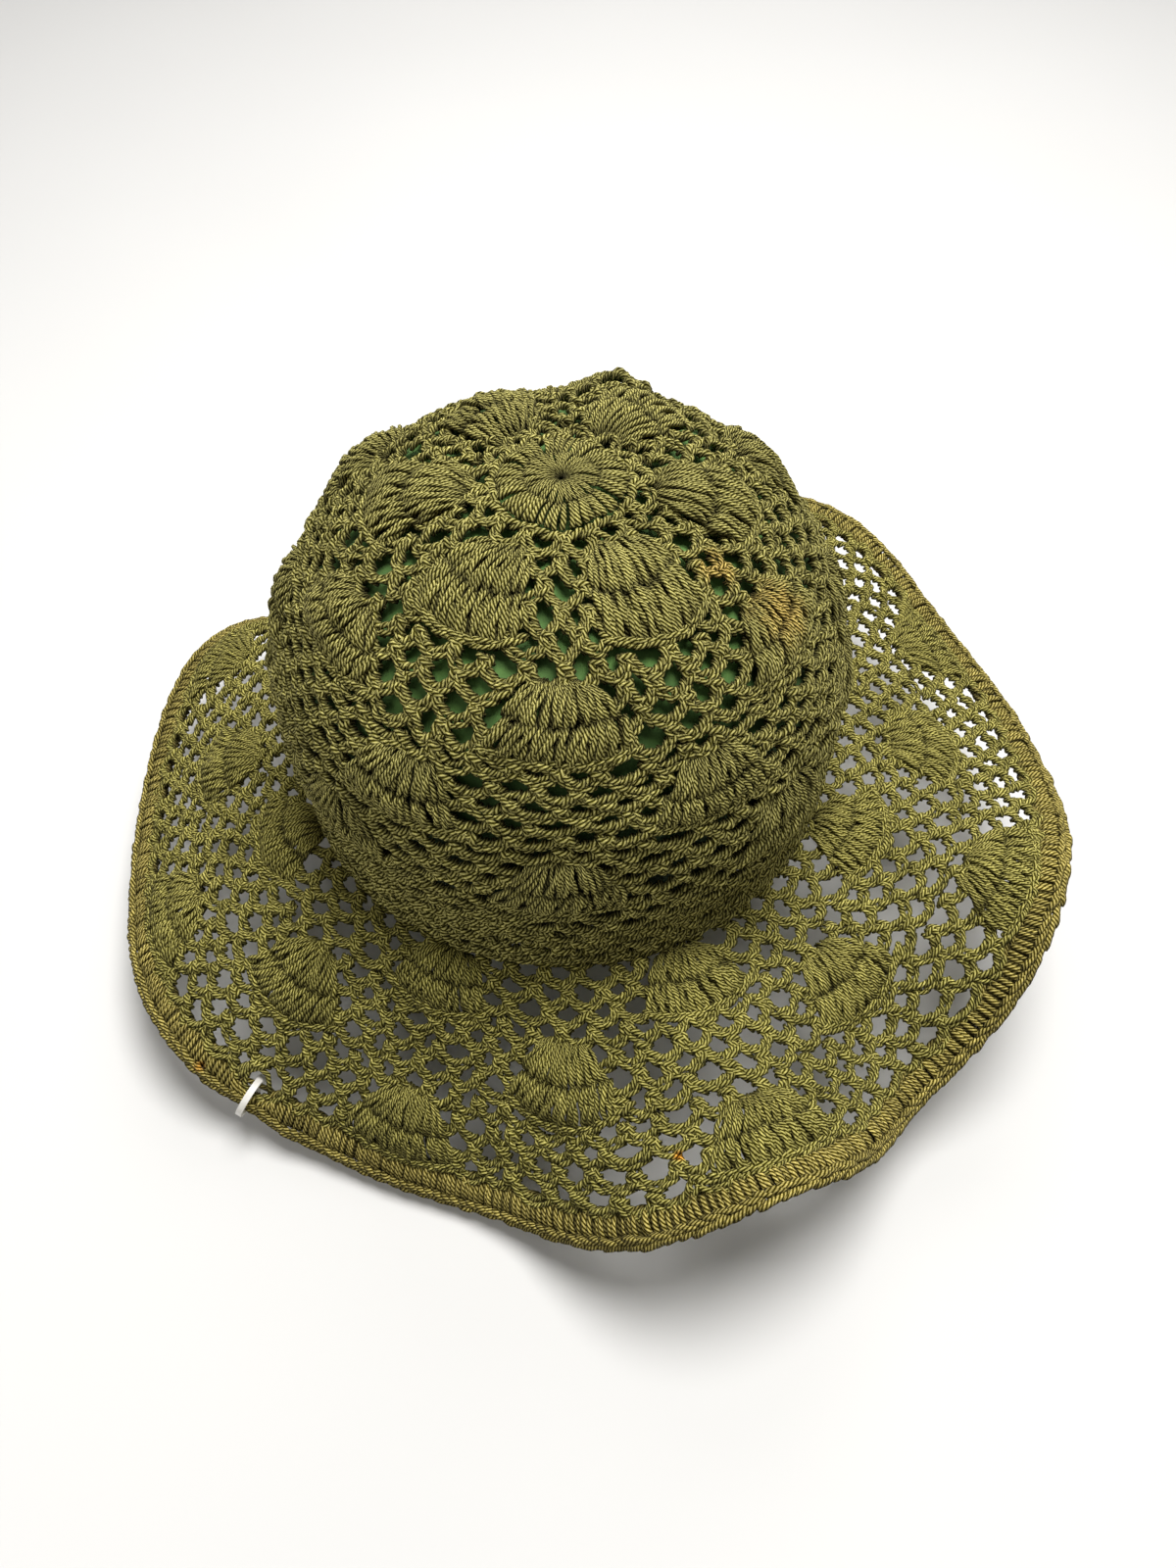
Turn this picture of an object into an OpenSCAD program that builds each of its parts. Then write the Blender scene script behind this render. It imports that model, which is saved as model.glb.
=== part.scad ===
// Crocheted sun hat: a lined openwork crown on a head band, and a wavy brim stiffened by a wire.
// The head opening is centred on the origin, the crown rises along +Z and the front faces -Y.
// Bearings are in degrees from the front, positive towards +X.

/* [Head band] */
// Inside radius of the head band
head_r = 88.5; // [80:0.5:105]
// Height of the head band
band_h = 16; // [10:1:24]
// Wall of the head band, at the middle of a round
band_wall = 4.2; // [4:0.1:5.5]
// Rounds of stitches in the head band
band_rounds = 3; // [2:1:5]

/* [Crown] */
// Height of the crown above the head opening
crown_h = 120; // [98:1:150]
// How far the crown swells out past the head band
crown_swell = 3.4; // [1:0.2:8]
// Height of the crown's widest round
swell_z = 38; // [30:1:50]
// Squareness of the dome, where 2 is an ellipse
dome_power = 2.5; // [2.2:0.1:3]
// Radius of the medallion at the top
medallion_r = 20; // [16:0.5:23]
// Long stitches round the medallion
medallion_posts = 24; // [16:2:32]
// How far the medallion's stitches stand proud
medallion_rise = 1.8; // [0.8:0.1:3]
// Distance from the crown's centre, along its surface, to the end of the first mesh zone
top_zone = 64; // [62:1:66]
// Distance to the end of the second mesh zone
upper_zone = 92; // [90:1:96]
// Distance to the end of the third mesh zone
middle_zone = 120; // [116:1:124]

/* [Mesh and fans] */
// Thickness of the mesh, one yarn over another
trellis_t = 2.2; // [1.4:0.1:3]
// Width of a mesh gap in the crown
gap_d = 7; // [3:0.5:8]
// Spacing of the crown's mesh gaps, along a round and from round to round
gap_pitch = 11; // [10:0.5:14]
// Stitches across a fan
fan_posts = 6; // [6:6:12]
// How far a fan's stitches stand proud of the mesh
fan_rise = 2.8; // [1.6:0.1:4]
// Loose gap between a fan and the mesh behind it
fan_seat = 0.7; // [0.65:0.05:0.9]
// Fans round each of the upper crown tiers
crown_repeats = 6; // [6:1:6]
// Fans round the lowest crown tier and each brim tier
brim_repeats = 8; // [8:1:8]

/* [Lining] */
// Thickness of the lining cloth
lining_t = 0.9; // [0.6:0.1:1.5]
// Gap between the lining and the mesh
lining_gap = 0.6; // [0.5:0.1:0.9]
// Distance from the crown's centre to the seam between the lining's tip and side
lining_seam = 78; // [60:1:100]

/* [Brim] */
// Width of the brim along its slope
brim_w = 92; // [76:1:112]
// Mean drop of the brim's edge below the head opening
brim_drop = 35; // [20:1:45]
// How sharply the brim curls down towards its edge, where 1 is straight
brim_curl = 1.4; // [1:0.1:2]
// Gap between the head band and the brim's first round
band_gap = 0.3; // [0.1:0.1:0.5]

/* [Edge] */
// Width of the edging's long stitches along the slope
edging_w = 8.4; // [7:0.2:10]
// Thickness of the edging
edging_t = 5.4; // [4.6:0.2:7]
// Diameter of the chain along the very edge
chain_d = 3; // [2:0.2:4]
// Diameter of the brim wire
wire_d = 1.4; // [1:0.1:1.7]
// Wall of the sleeve that joins the wire's ends
sleeve_wall = 0.35; // [0.25:0.05:0.4]
// Length of that sleeve
sleeve_l = 16; // [10:1:22]
// Clearance between neighbours at the edge
edge_gap = 0.3; // [0.2:0.05:0.5]

/* [Tag loop] */
// Width of the loop's tape
loop_w = 2.2; // [1.5:0.1:3]
// Thickness of the loop's tape
loop_t = 0.9; // [0.6:0.1:1.2]
// Room between the loop and the edging inside it
loop_room = 0.9; // [0.8:0.1:1.5]
// Mesh cell of the brim that the loop passes through, counted from the front
loop_cell = -8; // [-8:1:-8]

/* [Hidden] */

olive = "darkolivegreen";
pale_olive = "olivedrab";
leaf_green = "forestgreen";
round_fn = 96;

// Waves of the brim's edge: lobes round the brim, height of a wave, bearing of its first crest
brim_waves = [[1, 21.2, 73], [2, 13.9, 86.7], [3, 10.8, 24], [4, 2.6, -43.5], [5, 8.1, 10.9],
    [6, 9.6, 14.8], [7, 2.1, 24.2], [8, 5.3, 19], [9, 2.5, -16.3], [10, 1.9, -13.9]];

// Mesh left above and below a fan, and between the medallion and the first fans
fan_margin = 2;
medallion_margin = 7;
// Length of a fan of the lowest crown tier
fourth_l = 26;
// Fan tiers: start and end along the surface, width at the start, width at the end, first bearing
fans_first = [medallion_r + medallion_margin, top_zone - fan_margin, 11, 31, 180 / crown_repeats];
fans_second = [top_zone + fan_margin, upper_zone - fan_margin, 13, 42, 0];
fans_third = [upper_zone + fan_margin, middle_zone - fan_margin, 13, 40, 180 / crown_repeats];
fans_fourth = [middle_zone + fan_margin, middle_zone + fan_margin + fourth_l, 13, 41, 0];

// Rows of a fan: share of its height, and how far its stitches stand up there
fan_rows = [[0, 0.45], [0.33, 1], [0.6, 0.6], [1, 0.85]];
// How much shorter a fan is at its sides than at its middle
fan_scallop = 0.16;
// Height of the furrow between two stitches, as a share of the stitch
furrow = 0.45;
// Stitches across a fan for each face of its underside
posts_per_back_face = 1;

function unit(v) = v / norm(v);
function mix(a, b, f) = a * (1 - f) + b * f;
function turned(r, bearing, z) = [r * sin(bearing), -r * cos(bearing), z];

// The crown's meridian, from its centre down to the head band
crown_r = head_r + band_wall + crown_swell;
dome_step = 5;
wall_step = 0.1;
dome = [for (q = [0:dome_step:90])
    [crown_r * pow(sin(q), 2 / dome_power), swell_z + (crown_h - swell_z) * pow(cos(q), 2 / dome_power)]];
wall = [for (q = [wall_step:wall_step:1])
    [crown_r - crown_swell * q * q, swell_z - (swell_z - band_h) * q]];
meridian = concat(dome, wall);
run = [for (i = 0, s = 0; i < len(meridian);
    s = s + (i + 1 < len(meridian) ? norm(meridian[i + 1] - meridian[i]) : 0), i = i + 1) s];
radius_at = [for (i = [0:len(run) - 1]) [run[i], meridian[i][0]]];
height_at = [for (i = [0:len(run) - 1]) [run[i], meridian[i][1]]];
crown_run = run[len(run) - 1];

// Point of the crown's meridian at a distance s from the centre, raised h off the surface
function on_meridian(s) = [lookup(s, radius_at), lookup(s, height_at)];
function meridian_normal(s) = let (
    near = on_meridian(max(s - 1, 0)),
    far = on_meridian(min(s + 1, crown_run)),
    along = unit(far - near))
    [-along[1], along[0]];
function crown_profile(s, h) = s <= 0 ? [0, crown_h + h] : on_meridian(s) + h * meridian_normal(s);
function on_crown(bearing, s, h) = let (p = crown_profile(s, h)) turned(p[0], bearing, p[1]);

// The brim's surface: t along the slope from the head opening, raised h off the surface
brim_seat = 0.8;
brim_in_r = head_r + brim_seat;
function edge_z(bearing) = -brim_drop + [for (w = brim_waves) w[1] * cos(w[0] * (bearing - w[2]))]
    * [for (w = brim_waves) 1];
function brim_surface(bearing, t) = let (
    drop = edge_z(bearing),
    reach = sqrt(brim_w * brim_w - drop * drop),
    f = t / brim_w)
    turned(brim_in_r + reach * f, bearing, drop * pow(max(f, 0), brim_curl) - band_gap);
function brim_slope(bearing, t) = unit(brim_surface(bearing, t + 1) - brim_surface(bearing, max(t - 1, 0)));
function brim_normal(bearing, t) =
    unit(cross(brim_slope(bearing, t), brim_surface(bearing + 1, t) - brim_surface(bearing - 1, t)));
function on_brim(bearing, t, h) = brim_surface(bearing, t) + h * brim_normal(bearing, t);

// The brim's zones, from the head band outwards
columns = 8 * brim_repeats;
column = 360 / columns;
net_end = brim_w - chain_d - edging_w - 2 * edge_gap;
zone_w = net_end / 3;
fans_inner = [4, 30, 14, 38, 180 / brim_repeats];
fans_middle = [zone_w + 3, zone_w + 31, 14, 43, 0];
fans_outer = [net_end - 23, net_end - 1, 14, 46, 180 / brim_repeats];

// Centre lines at the edge
edging_at = net_end + edge_gap + edging_w / 2;
chain_at = brim_w - chain_d / 2;
mid_h = -trellis_t / 2;
wire_out = 1.2;

// Frame of the edge at one column: centre of the edging, slope and normal there
function edge_column(i) = let (bearing = i * column)
    [on_brim(bearing, edging_at, mid_h), brim_slope(bearing, edging_at), brim_normal(bearing, edging_at)];
// The same at any bearing, along the straight runs between columns
function edge_frame(bearing) = let (i = floor(bearing / column), f = bearing / column - i)
    mix(edge_column(i), edge_column(i + 1), f);
function in_frame(frame, p) = frame[0] + p[0] * frame[1] + p[1] * frame[2];

// Skin of a tube whose sections are lists of points, closed into a ring or capped at its ends
module tube(sections, ring) {
    n = len(sections);
    m = len(sections[0]);
    last = ring ? n - 1 : n - 2;
    points = [for (section = sections) each section];
    sides = [for (i = [0:last]) for (j = [0:m - 1]) let (
        a = i * m + j,
        b = i * m + (j + 1) % m,
        c = ((i + 1) % n) * m + (j + 1) % m,
        d = ((i + 1) % n) * m + j)
        each [[a, b, c], [a, c, d]]];
    caps = ring ? [] : concat(
        [for (j = [1:m - 2]) [0, j + 1, j]],
        [for (j = [1:m - 2]) [(n - 1) * m, (n - 1) * m + j, (n - 1) * m + j + 1]]);
    polyhedron(points, concat(sides, caps));
}

// Regular polygon that a circle of radius r just fits into, or that just fits into the circle
function polygon_in(r, sides) = [for (q = [0:sides - 1]) r * [cos(q * 360 / sides), -sin(q * 360 / sides)]];
function polygon_round(r, sides) = polygon_in(r / cos(180 / sides), sides);

// Width of a fan at a share v of its height
function fan_width(tier, v) = mix(tier[2], tier[3], pow(v, 0.8));

// Point of a fan on the crown (brim = false) or the brim, q from -1 to 1 across it
function fan_point(tier, bearing, q, v, h, brim) = let (
    s = mix(tier[0], tier[1], v * (1 - fan_scallop * q * q)),
    r = brim ? brim_in_r + s : on_meridian(s)[0],
    turn = bearing + q * fan_width(tier, v) / 2 / r * 180 / PI)
    brim ? on_brim(turn, s, h) : on_crown(turn, s, h);

// One fan: two rounds of ribs over a plain back
module fan(tier, bearing, brim) {
    cols = 2 * fan_posts;
    backs = fan_posts / posts_per_back_face;
    per = cols / backs;
    rows = len(fan_rows) - 1;
    top = [for (row = fan_rows) for (j = [0:cols])
        fan_point(tier, bearing, 2 * j / cols - 1, row[0],
            fan_seat + fan_rise * row[1] * (j % 2 == 1 ? 1 : furrow), brim)];
    back = [for (row = fan_rows) for (j = [0:backs])
        fan_point(tier, bearing, 2 * j / backs - 1, row[0], fan_seat, brim)];
    first = len(top);
    function t(k, j) = k * (cols + 1) + j;
    function b(k, j) = first + k * (backs + 1) + j;
    tops = [for (k = [0:rows - 1]) for (j = [0:cols - 1])
        each [[t(k, j), t(k + 1, j), t(k + 1, j + 1)], [t(k, j), t(k + 1, j + 1), t(k, j + 1)]]];
    backsides = [for (k = [0:rows - 1]) for (j = [0:backs - 1])
        each [[b(k, j), b(k + 1, j + 1), b(k + 1, j)], [b(k, j), b(k, j + 1), b(k + 1, j + 1)]]];
    inner_end = [for (j = [0:backs - 1]) each concat(
        [[b(0, j), t(0, j * per + per), b(0, j + 1)]],
        [for (i = [0:per - 1]) [b(0, j), t(0, j * per + i), t(0, j * per + i + 1)]])];
    outer_end = [for (j = [0:backs - 1]) each concat(
        [[b(rows, j), b(rows, j + 1), t(rows, j * per + per)]],
        [for (i = [0:per - 1]) [b(rows, j), t(rows, j * per + i + 1), t(rows, j * per + i)]])];
    left = [for (k = [0:rows - 1])
        each [[t(k, 0), b(k, 0), b(k + 1, 0)], [t(k, 0), b(k + 1, 0), t(k + 1, 0)]]];
    right = [for (k = [0:rows - 1])
        each [[t(k, cols), b(k + 1, backs), b(k, backs)], [t(k, cols), t(k + 1, cols), b(k + 1, backs)]]];
    polyhedron(concat(top, back), concat(tops, backsides, inner_end, outer_end, left, right));
}

// A tier of fans round the hat
module fan_tier(tier, count, brim) {
    for (i = [0:count - 1])
        fan(tier, tier[4] + i * 360 / count, brim);
}

// Whether a spot lies behind a fan of a tier, or closer to it than margin
function behind_fan(tier, count, bearing, s, r, margin) = let (
    v = (s - tier[0]) / (tier[1] - tier[0]),
    turn = bearing - tier[4],
    off = abs(turn - round(turn * count / 360) * 360 / count))
    s > tier[0] - margin && s < tier[1] + margin
        && off * PI / 180 * r < fan_width(tier, min(max(v, 0), 1)) / 2 + margin;

// Band of the crown's surface between two distances from its centre, from depth a to depth b
module crown_shell(from_s, to_s, steps, a, b) {
    outline = [for (i = [0:steps]) mix(from_s, to_s, i / steps)];
    rotate_extrude($fn = round_fn)
        polygon(concat(
            [for (s = outline) crown_profile(s, -a)],
            [for (i = [steps:-1:0]) crown_profile(outline[i], -b)]));
}

// Diamond gaps in a band of the crown's mesh, left out behind its fans
module crown_gaps(from_s, to_s, rows, tier, count) {
    step = (to_s - from_s) / rows;
    for (k = [0:rows - 1]) {
        s = from_s + (k + 0.5) * step;
        p = crown_profile(s, mid_h);
        lean = meridian_normal(s);
        per_fan = floor(2 * PI * p[0] / count / gap_pitch);
        for (i = [0:count * per_fan - 1]) {
            bearing = tier[4] + (i + (k + per_fan) % 2 / 2) * 360 / count / per_fan;
            if (!behind_fan(tier, count, bearing, s, p[0], gap_d / 2))
                rotate([0, 0, bearing - 90])
                    translate([p[0], 0, p[1]])
                        rotate([0, atan2(lean[0], lean[1]), 0])
                            cylinder(d = gap_d, h = 3 * trellis_t, center = true, $fn = 4);
        }
    }
}

// Band of mesh with one face of the crown for each round of gaps
module crown_trellis(from_s, to_s, tier, count) {
    rows = floor((to_s - from_s) / gap_pitch);
    difference() {
        crown_shell(from_s, to_s, rows, 0, trellis_t);
        crown_gaps(from_s, to_s, rows, tier, count);
    }
}

// Zone of the brim's net between two distances along the slope: two rows of cells with a diamond gap
// in each, left whole behind the fans, and notched along the edge where the net is tied to the edging
module brim_net(from_t, to_t, tier, notched) {
    rows = 2;
    open = 0.72;
    notch = 0.36;
    row_t = (to_t - from_t) / rows;
    function at(k, i) = [(i % columns) * column, from_t + k * row_t];
    function cell_mid(k, i) = [(i + 0.5) * column, from_t + (k + 0.5) * row_t];
    function whole(k, i) = let (m = cell_mid(k, i))
        behind_fan(tier, brim_repeats, m[0], m[1], brim_in_r + m[1], 1);
    grid = [for (k = [0:rows]) for (i = [0:columns - 1]) at(k, i)];
    mids = [for (k = [0:rows - 1]) for (i = [0:columns - 1]) let (
        m = cell_mid(k, i),
        across = open * column / 2,
        along = open * row_t / 2)
        each notched && k == rows - 1
            ? [m + [notch * column, row_t / 2], m, m + [-notch * column, row_t / 2], m]
            : [m + [across, 0], m + [0, along], m + [-across, 0], m + [0, -along]]];
    flat = concat(grid, mids);
    count = len(flat);
    points = concat(
        [for (p = flat) on_brim(p[0], p[1], 0)],
        [for (p = flat) on_brim(p[0], p[1], -trellis_t)]);
    function g(k, i) = k * columns + i % columns;
    function d(k, i, c) = len(grid) + 4 * (k * columns + i) + c;
    // Loops are listed so that the upper face turns the right way and the lower face is its mirror
    upper = [for (k = [0:rows - 1]) for (i = [0:columns - 1])
        each whole(k, i)
            ? [[g(k, i), g(k + 1, i), g(k + 1, i + 1)], [g(k, i), g(k + 1, i + 1), g(k, i + 1)]]
            : notched && k == rows - 1
            ? [[g(k, i), d(k, i, 1), g(k, i + 1)],
               [g(k, i + 1), d(k, i, 1), d(k, i, 0)],
               [g(k, i + 1), d(k, i, 0), g(k + 1, i + 1)],
               [g(k, i), d(k, i, 2), d(k, i, 1)],
               [g(k, i), g(k + 1, i), d(k, i, 2)]]
            : [[g(k, i), d(k, i, 3), g(k, i + 1)],
               [g(k, i + 1), d(k, i, 3), d(k, i, 0)],
               [g(k, i + 1), d(k, i, 0), g(k + 1, i + 1)],
               [g(k + 1, i + 1), d(k, i, 0), d(k, i, 1)],
               [g(k + 1, i + 1), d(k, i, 1), g(k + 1, i)],
               [g(k + 1, i), d(k, i, 1), d(k, i, 2)],
               [g(k + 1, i), d(k, i, 2), g(k, i)],
               [g(k, i), d(k, i, 2), d(k, i, 3)]]];
    lower = [for (f = upper) [f[0] + count, f[2] + count, f[1] + count]];
    rims = [for (k = [0:rows - 1]) for (i = [0:columns - 1])
        each whole(k, i) ? [] : notched && k == rows - 1
            ? [[g(k + 1, i), d(k, i, 2)], [d(k, i, 2), d(k, i, 1)],
               [d(k, i, 1), d(k, i, 0)], [d(k, i, 0), g(k + 1, i + 1)]]
            : [[d(k, i, 3), d(k, i, 0)], [d(k, i, 0), d(k, i, 1)],
               [d(k, i, 1), d(k, i, 2)], [d(k, i, 2), d(k, i, 3)]]];
    outer_end = [for (i = [0:columns - 1]) if (!notched || whole(rows - 1, i)) [g(rows, i), g(rows, i + 1)]];
    inner_end = [for (i = [0:columns - 1]) [g(0, i + 1), g(0, i)]];
    // The two ends split their walls along the same diagonals, so that neighbouring zones meet face to face
    walls = concat(
        [for (e = concat(rims, outer_end))
            each [[e[0], e[0] + count, e[1] + count], [e[0], e[1] + count, e[1]]]],
        [for (e = inner_end)
            each [[e[0], e[0] + count, e[1]], [e[0] + count, e[1] + count, e[1]]]]);
    polyhedron(points, concat(upper, lower, walls));
}

// Section of the edging: an oval with a channel for the wire, open on its inner side
function edging_section() = let (
    outer_points = 8,
    inner_points = 6,
    mouth = 12,
    channel_r = wire_d / 2 + edge_gap / 3 + sleeve_wall + edge_gap,
    step = (360 - 6 * mouth) / (inner_points - 1),
    vertex_r = channel_r / cos(step / 2))
    concat(
        [for (i = [0:outer_points]) let (q = 180 - mouth - i * (360 - 2 * mouth) / outer_points)
            [edging_w / 2 * cos(q), edging_t / 2 * sin(q)]],
        [for (i = [0:inner_points - 1]) let (q = -180 + 3 * mouth + i * step)
            [wire_out + vertex_r * cos(q), vertex_r * sin(q)]]);

module crown_medallion() {
    cols = 2 * medallion_posts;
    // Distance from the centre and rise of each ring of points, as shares of the whole
    rings = [[0.14, 0.5], [0.5, 0.75], [0.56, 0.55], [1, 1]];
    edge_s = medallion_r - edge_gap / 3;
    function lift(j) = j % 2 == 1 ? 1 : furrow;
    points = concat(
        [on_crown(0, 0, medallion_rise / 4), on_crown(0, 0, -trellis_t)],
        [for (ring = rings) for (j = [0:cols - 1])
            on_crown(j * 360 / cols, edge_s * ring[0], medallion_rise * ring[1] * lift(j))],
        [for (j = [0:cols - 1]) on_crown(j * 360 / cols, edge_s, -trellis_t)]);
    function p(k, j) = 2 + k * cols + j % cols;
    last = len(rings) - 1;
    centre = [for (j = [0:cols - 1]) [0, p(0, j), p(0, j + 1)]];
    upper = [for (k = [0:last - 1]) for (j = [0:cols - 1])
        each [[p(k, j), p(k + 1, j), p(k + 1, j + 1)], [p(k, j), p(k + 1, j + 1), p(k, j + 1)]]];
    side = [for (j = [0:cols - 1])
        each [[p(last, j), p(last + 1, j), p(last + 1, j + 1)],
              [p(last, j), p(last + 1, j + 1), p(last, j + 1)]]];
    under = [for (j = [0:cols - 1]) [1, p(last + 1, j + 1), p(last + 1, j)]];
    color(olive)
        polyhedron(points, concat(centre, upper, side, under));
}

module crown_fans_first() { color(olive) fan_tier(fans_first, crown_repeats, false); }

module crown_fans_second() { color(olive) fan_tier(fans_second, crown_repeats, false); }

module crown_fans_third() { color(olive) fan_tier(fans_third, crown_repeats, false); }

module crown_fans_fourth() { color(olive) fan_tier(fans_fourth, brim_repeats, false); }

module crown_trellis_top() {
    color(pale_olive) crown_trellis(medallion_r, top_zone, fans_first, crown_repeats);
}

module crown_trellis_upper() {
    color(pale_olive) crown_trellis(top_zone, upper_zone, fans_second, crown_repeats);
}

module crown_trellis_middle() {
    color(pale_olive) crown_trellis(upper_zone, middle_zone, fans_third, crown_repeats);
}

module crown_trellis_lower() {
    color(pale_olive) crown_trellis(middle_zone, crown_run, fans_fourth, brim_repeats);
}

// The band's outer side is a stack of rounds, each a shallow bulge
module head_band() {
    color(olive) {
        round_h = band_h / band_rounds;
        dip = 0.9;
        arc_steps = 6;
        bulges = [for (k = [0:band_rounds - 1]) for (i = [0:arc_steps - 1]) let (q = 180 * i / arc_steps)
            [head_r + band_wall - dip + dip * sin(q), round_h * (k + i / arc_steps)]];
        rotate_extrude($fn = round_fn)
            polygon(concat(
                [[head_r, 0]],
                bulges,
                [[head_r + band_wall - dip, band_h], [head_r, band_h]]));
    }
}

lining_out = trellis_t + lining_gap;
lining_steps = 14;

module lining_tip() {
    color(leaf_green) crown_shell(0, lining_seam, lining_steps, lining_out, lining_out + lining_t);
}

// The side strip follows the mesh down and stands on the head band's top
module lining_side() {
    color(leaf_green) {
        outline = [for (i = [0:lining_steps]) mix(lining_seam, crown_run, i / lining_steps)];
        outer = [for (s = outline) crown_profile(s, -lining_out)];
        inner = [for (s = outline) crown_profile(s, -lining_out - lining_t)];
        rotate_extrude($fn = round_fn)
            polygon(concat(
                outer,
                [[outer[lining_steps][0], band_h], [inner[lining_steps][0], band_h]],
                [for (i = [lining_steps:-1:0]) inner[i]]));
    }
}

module brim_trellis_inner() { color(pale_olive) brim_net(0, zone_w, fans_inner, false); }

module brim_trellis_middle() { color(pale_olive) brim_net(zone_w, 2 * zone_w, fans_middle, false); }

module brim_trellis_outer() { color(pale_olive) brim_net(2 * zone_w, net_end, fans_outer, true); }

module brim_fans_inner() { color(olive) fan_tier(fans_inner, brim_repeats, true); }

module brim_fans_middle() { color(olive) fan_tier(fans_middle, brim_repeats, true); }

module brim_fans_outer() { color(olive) fan_tier(fans_outer, brim_repeats, true); }

module brim_edging() {
    color(olive)
        tube([for (i = [0:columns - 1]) let (frame = edge_column(i))
            [for (p = edging_section()) in_frame(frame, p)]], true);
}

// Sections of a rod along the wire's line, at a list of bearings
function rod(bearings, outline) = [for (bearing = bearings) let (frame = edge_frame(bearing))
    [for (p = outline) in_frame(frame, p + [wire_out, 0])]];

// The wire is one open ring: its ends meet at the back, inside the sleeve
module brim_wire() {
    color("silver") {
        end_gap = 0.1;
        bearings = concat([end_gap], [for (i = [1:columns - 1]) i * column], [360 - end_gap]);
        tube(rod([for (q = bearings) q + 180], polygon_in(wire_d / 2, 6)), false);
    }
}

module wire_sleeve() {
    color("gray") {
        half = sleeve_l / 2 / (brim_in_r + edging_at) * 180 / PI;
        inner_r = wire_d / 2 + edge_gap / 3;
        sides = 8;
        outer_r = (inner_r + sleeve_wall) / cos(180 / sides);
        outer = rod([180 - half, 180, 180 + half], polygon_in(outer_r, sides));
        inner = rod([180 + half, 180, 180 - half], polygon_round(inner_r, sides));
        tube(concat(outer, inner), true);
    }
}

module edge_chain() {
    color(olive)
        tube([for (i = [0:columns - 1]) let (frame = edge_column(i))
            [for (p = polygon_in(chain_d / 2, 6)) in_frame(frame, p + [chain_at - edging_at, 0])]], true);
}

// The loop rings the edging and its chain, and passes through the notch of one mesh cell
module tag_loop() {
    color("white") {
        bearing = (loop_cell + 0.5) * column;
        frame = edge_frame(bearing);
        held_w = brim_w - (edging_at - edging_w / 2);
        inner_r = held_w / 2 + loop_room;
        centre = in_frame(frame, [(held_w - edging_w) / 2, 0]);
        out = unit(frame[1]);
        side = unit(cross(out, frame[2]));
        up = cross(side, out);
        multmatrix([
            [out[0], up[0], side[0], centre[0]],
            [out[1], up[1], side[1], centre[1]],
            [out[2], up[2], side[2], centre[2]],
            [0, 0, 0, 1]])
            rotate_extrude($fn = 64)
                translate([inner_r + loop_t / 2, 0])
                    square([loop_t, loop_w], center = true);
    }
}

crown_medallion();
crown_fans_first();
crown_fans_second();
crown_fans_third();
crown_fans_fourth();
crown_trellis_top();
crown_trellis_upper();
crown_trellis_middle();
crown_trellis_lower();
head_band();
lining_tip();
lining_side();
brim_trellis_inner();
brim_trellis_middle();
brim_trellis_outer();
brim_fans_inner();
brim_fans_middle();
brim_fans_outer();
brim_edging();
brim_wire();
wire_sleeve();
edge_chain();
tag_loop();
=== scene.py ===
"""Crocheted sun hat: yarn, lining, wire and loop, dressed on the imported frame."""

import logging
import math
from dataclasses import dataclass, field
from enum import Enum

import bpy
import numpy as np
from bpy.types import ID, Material, Node, NodeOutputs, NodeTree, Object
from bpy.types import NodeSocket as Socket
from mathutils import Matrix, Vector


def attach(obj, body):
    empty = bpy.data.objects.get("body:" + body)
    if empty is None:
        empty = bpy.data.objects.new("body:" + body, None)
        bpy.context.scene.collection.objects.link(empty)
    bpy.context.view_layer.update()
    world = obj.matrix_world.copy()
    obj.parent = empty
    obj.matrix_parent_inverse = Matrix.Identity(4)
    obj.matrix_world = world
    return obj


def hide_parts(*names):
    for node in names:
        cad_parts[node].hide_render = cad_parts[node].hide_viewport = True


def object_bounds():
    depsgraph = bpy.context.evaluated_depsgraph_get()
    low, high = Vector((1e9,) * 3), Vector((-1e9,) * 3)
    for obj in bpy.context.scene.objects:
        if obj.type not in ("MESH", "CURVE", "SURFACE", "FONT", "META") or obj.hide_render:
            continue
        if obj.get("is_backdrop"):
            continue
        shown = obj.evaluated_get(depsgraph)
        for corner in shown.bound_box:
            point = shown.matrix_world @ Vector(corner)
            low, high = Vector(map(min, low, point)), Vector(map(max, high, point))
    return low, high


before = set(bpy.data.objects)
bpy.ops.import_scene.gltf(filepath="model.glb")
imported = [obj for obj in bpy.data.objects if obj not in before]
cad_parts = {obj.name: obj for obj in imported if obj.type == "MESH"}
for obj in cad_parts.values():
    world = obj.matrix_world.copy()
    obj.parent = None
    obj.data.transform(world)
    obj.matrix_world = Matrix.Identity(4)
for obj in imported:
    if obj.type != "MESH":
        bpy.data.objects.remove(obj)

Array = np.ndarray
Place = tuple[float, float, float]
Four = tuple[float, float, float, float]
Colour = Four
Spots = tuple[Array, Array, Array]

MM = 0.001
CIRCLE = 360.0
LEGS = (0.0, math.pi)
BOTH_SIDES = (-1.0, 1.0)
# Where a colour mix node has its share and two colours, and its result
MIX_INPUTS, MIX_OUTPUT = (0, 6, 7), 2
LOG = logging.getLogger("sun_hat")
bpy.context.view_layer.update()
# Share of the wander, waves round the hat, pace down it and shift with the seed
WANDER_WAVES = ((0.45, 3, 0.065, 1.0), (0.33, 7, -0.11, 2.1), (0.22, 13, 0.19, 3.7))


class Body(Enum):
    """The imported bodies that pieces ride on."""

    HAT = "hat"
    LOOP = "loop"


class Slot(Enum):
    """The record's material slots."""

    YARN = "olive_yarn"
    COTTON = "green_cotton"
    WIRE = "spring_wire"
    SLEEVE = "crimp_sleeve"
    TAPE = "white_loop"


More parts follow.
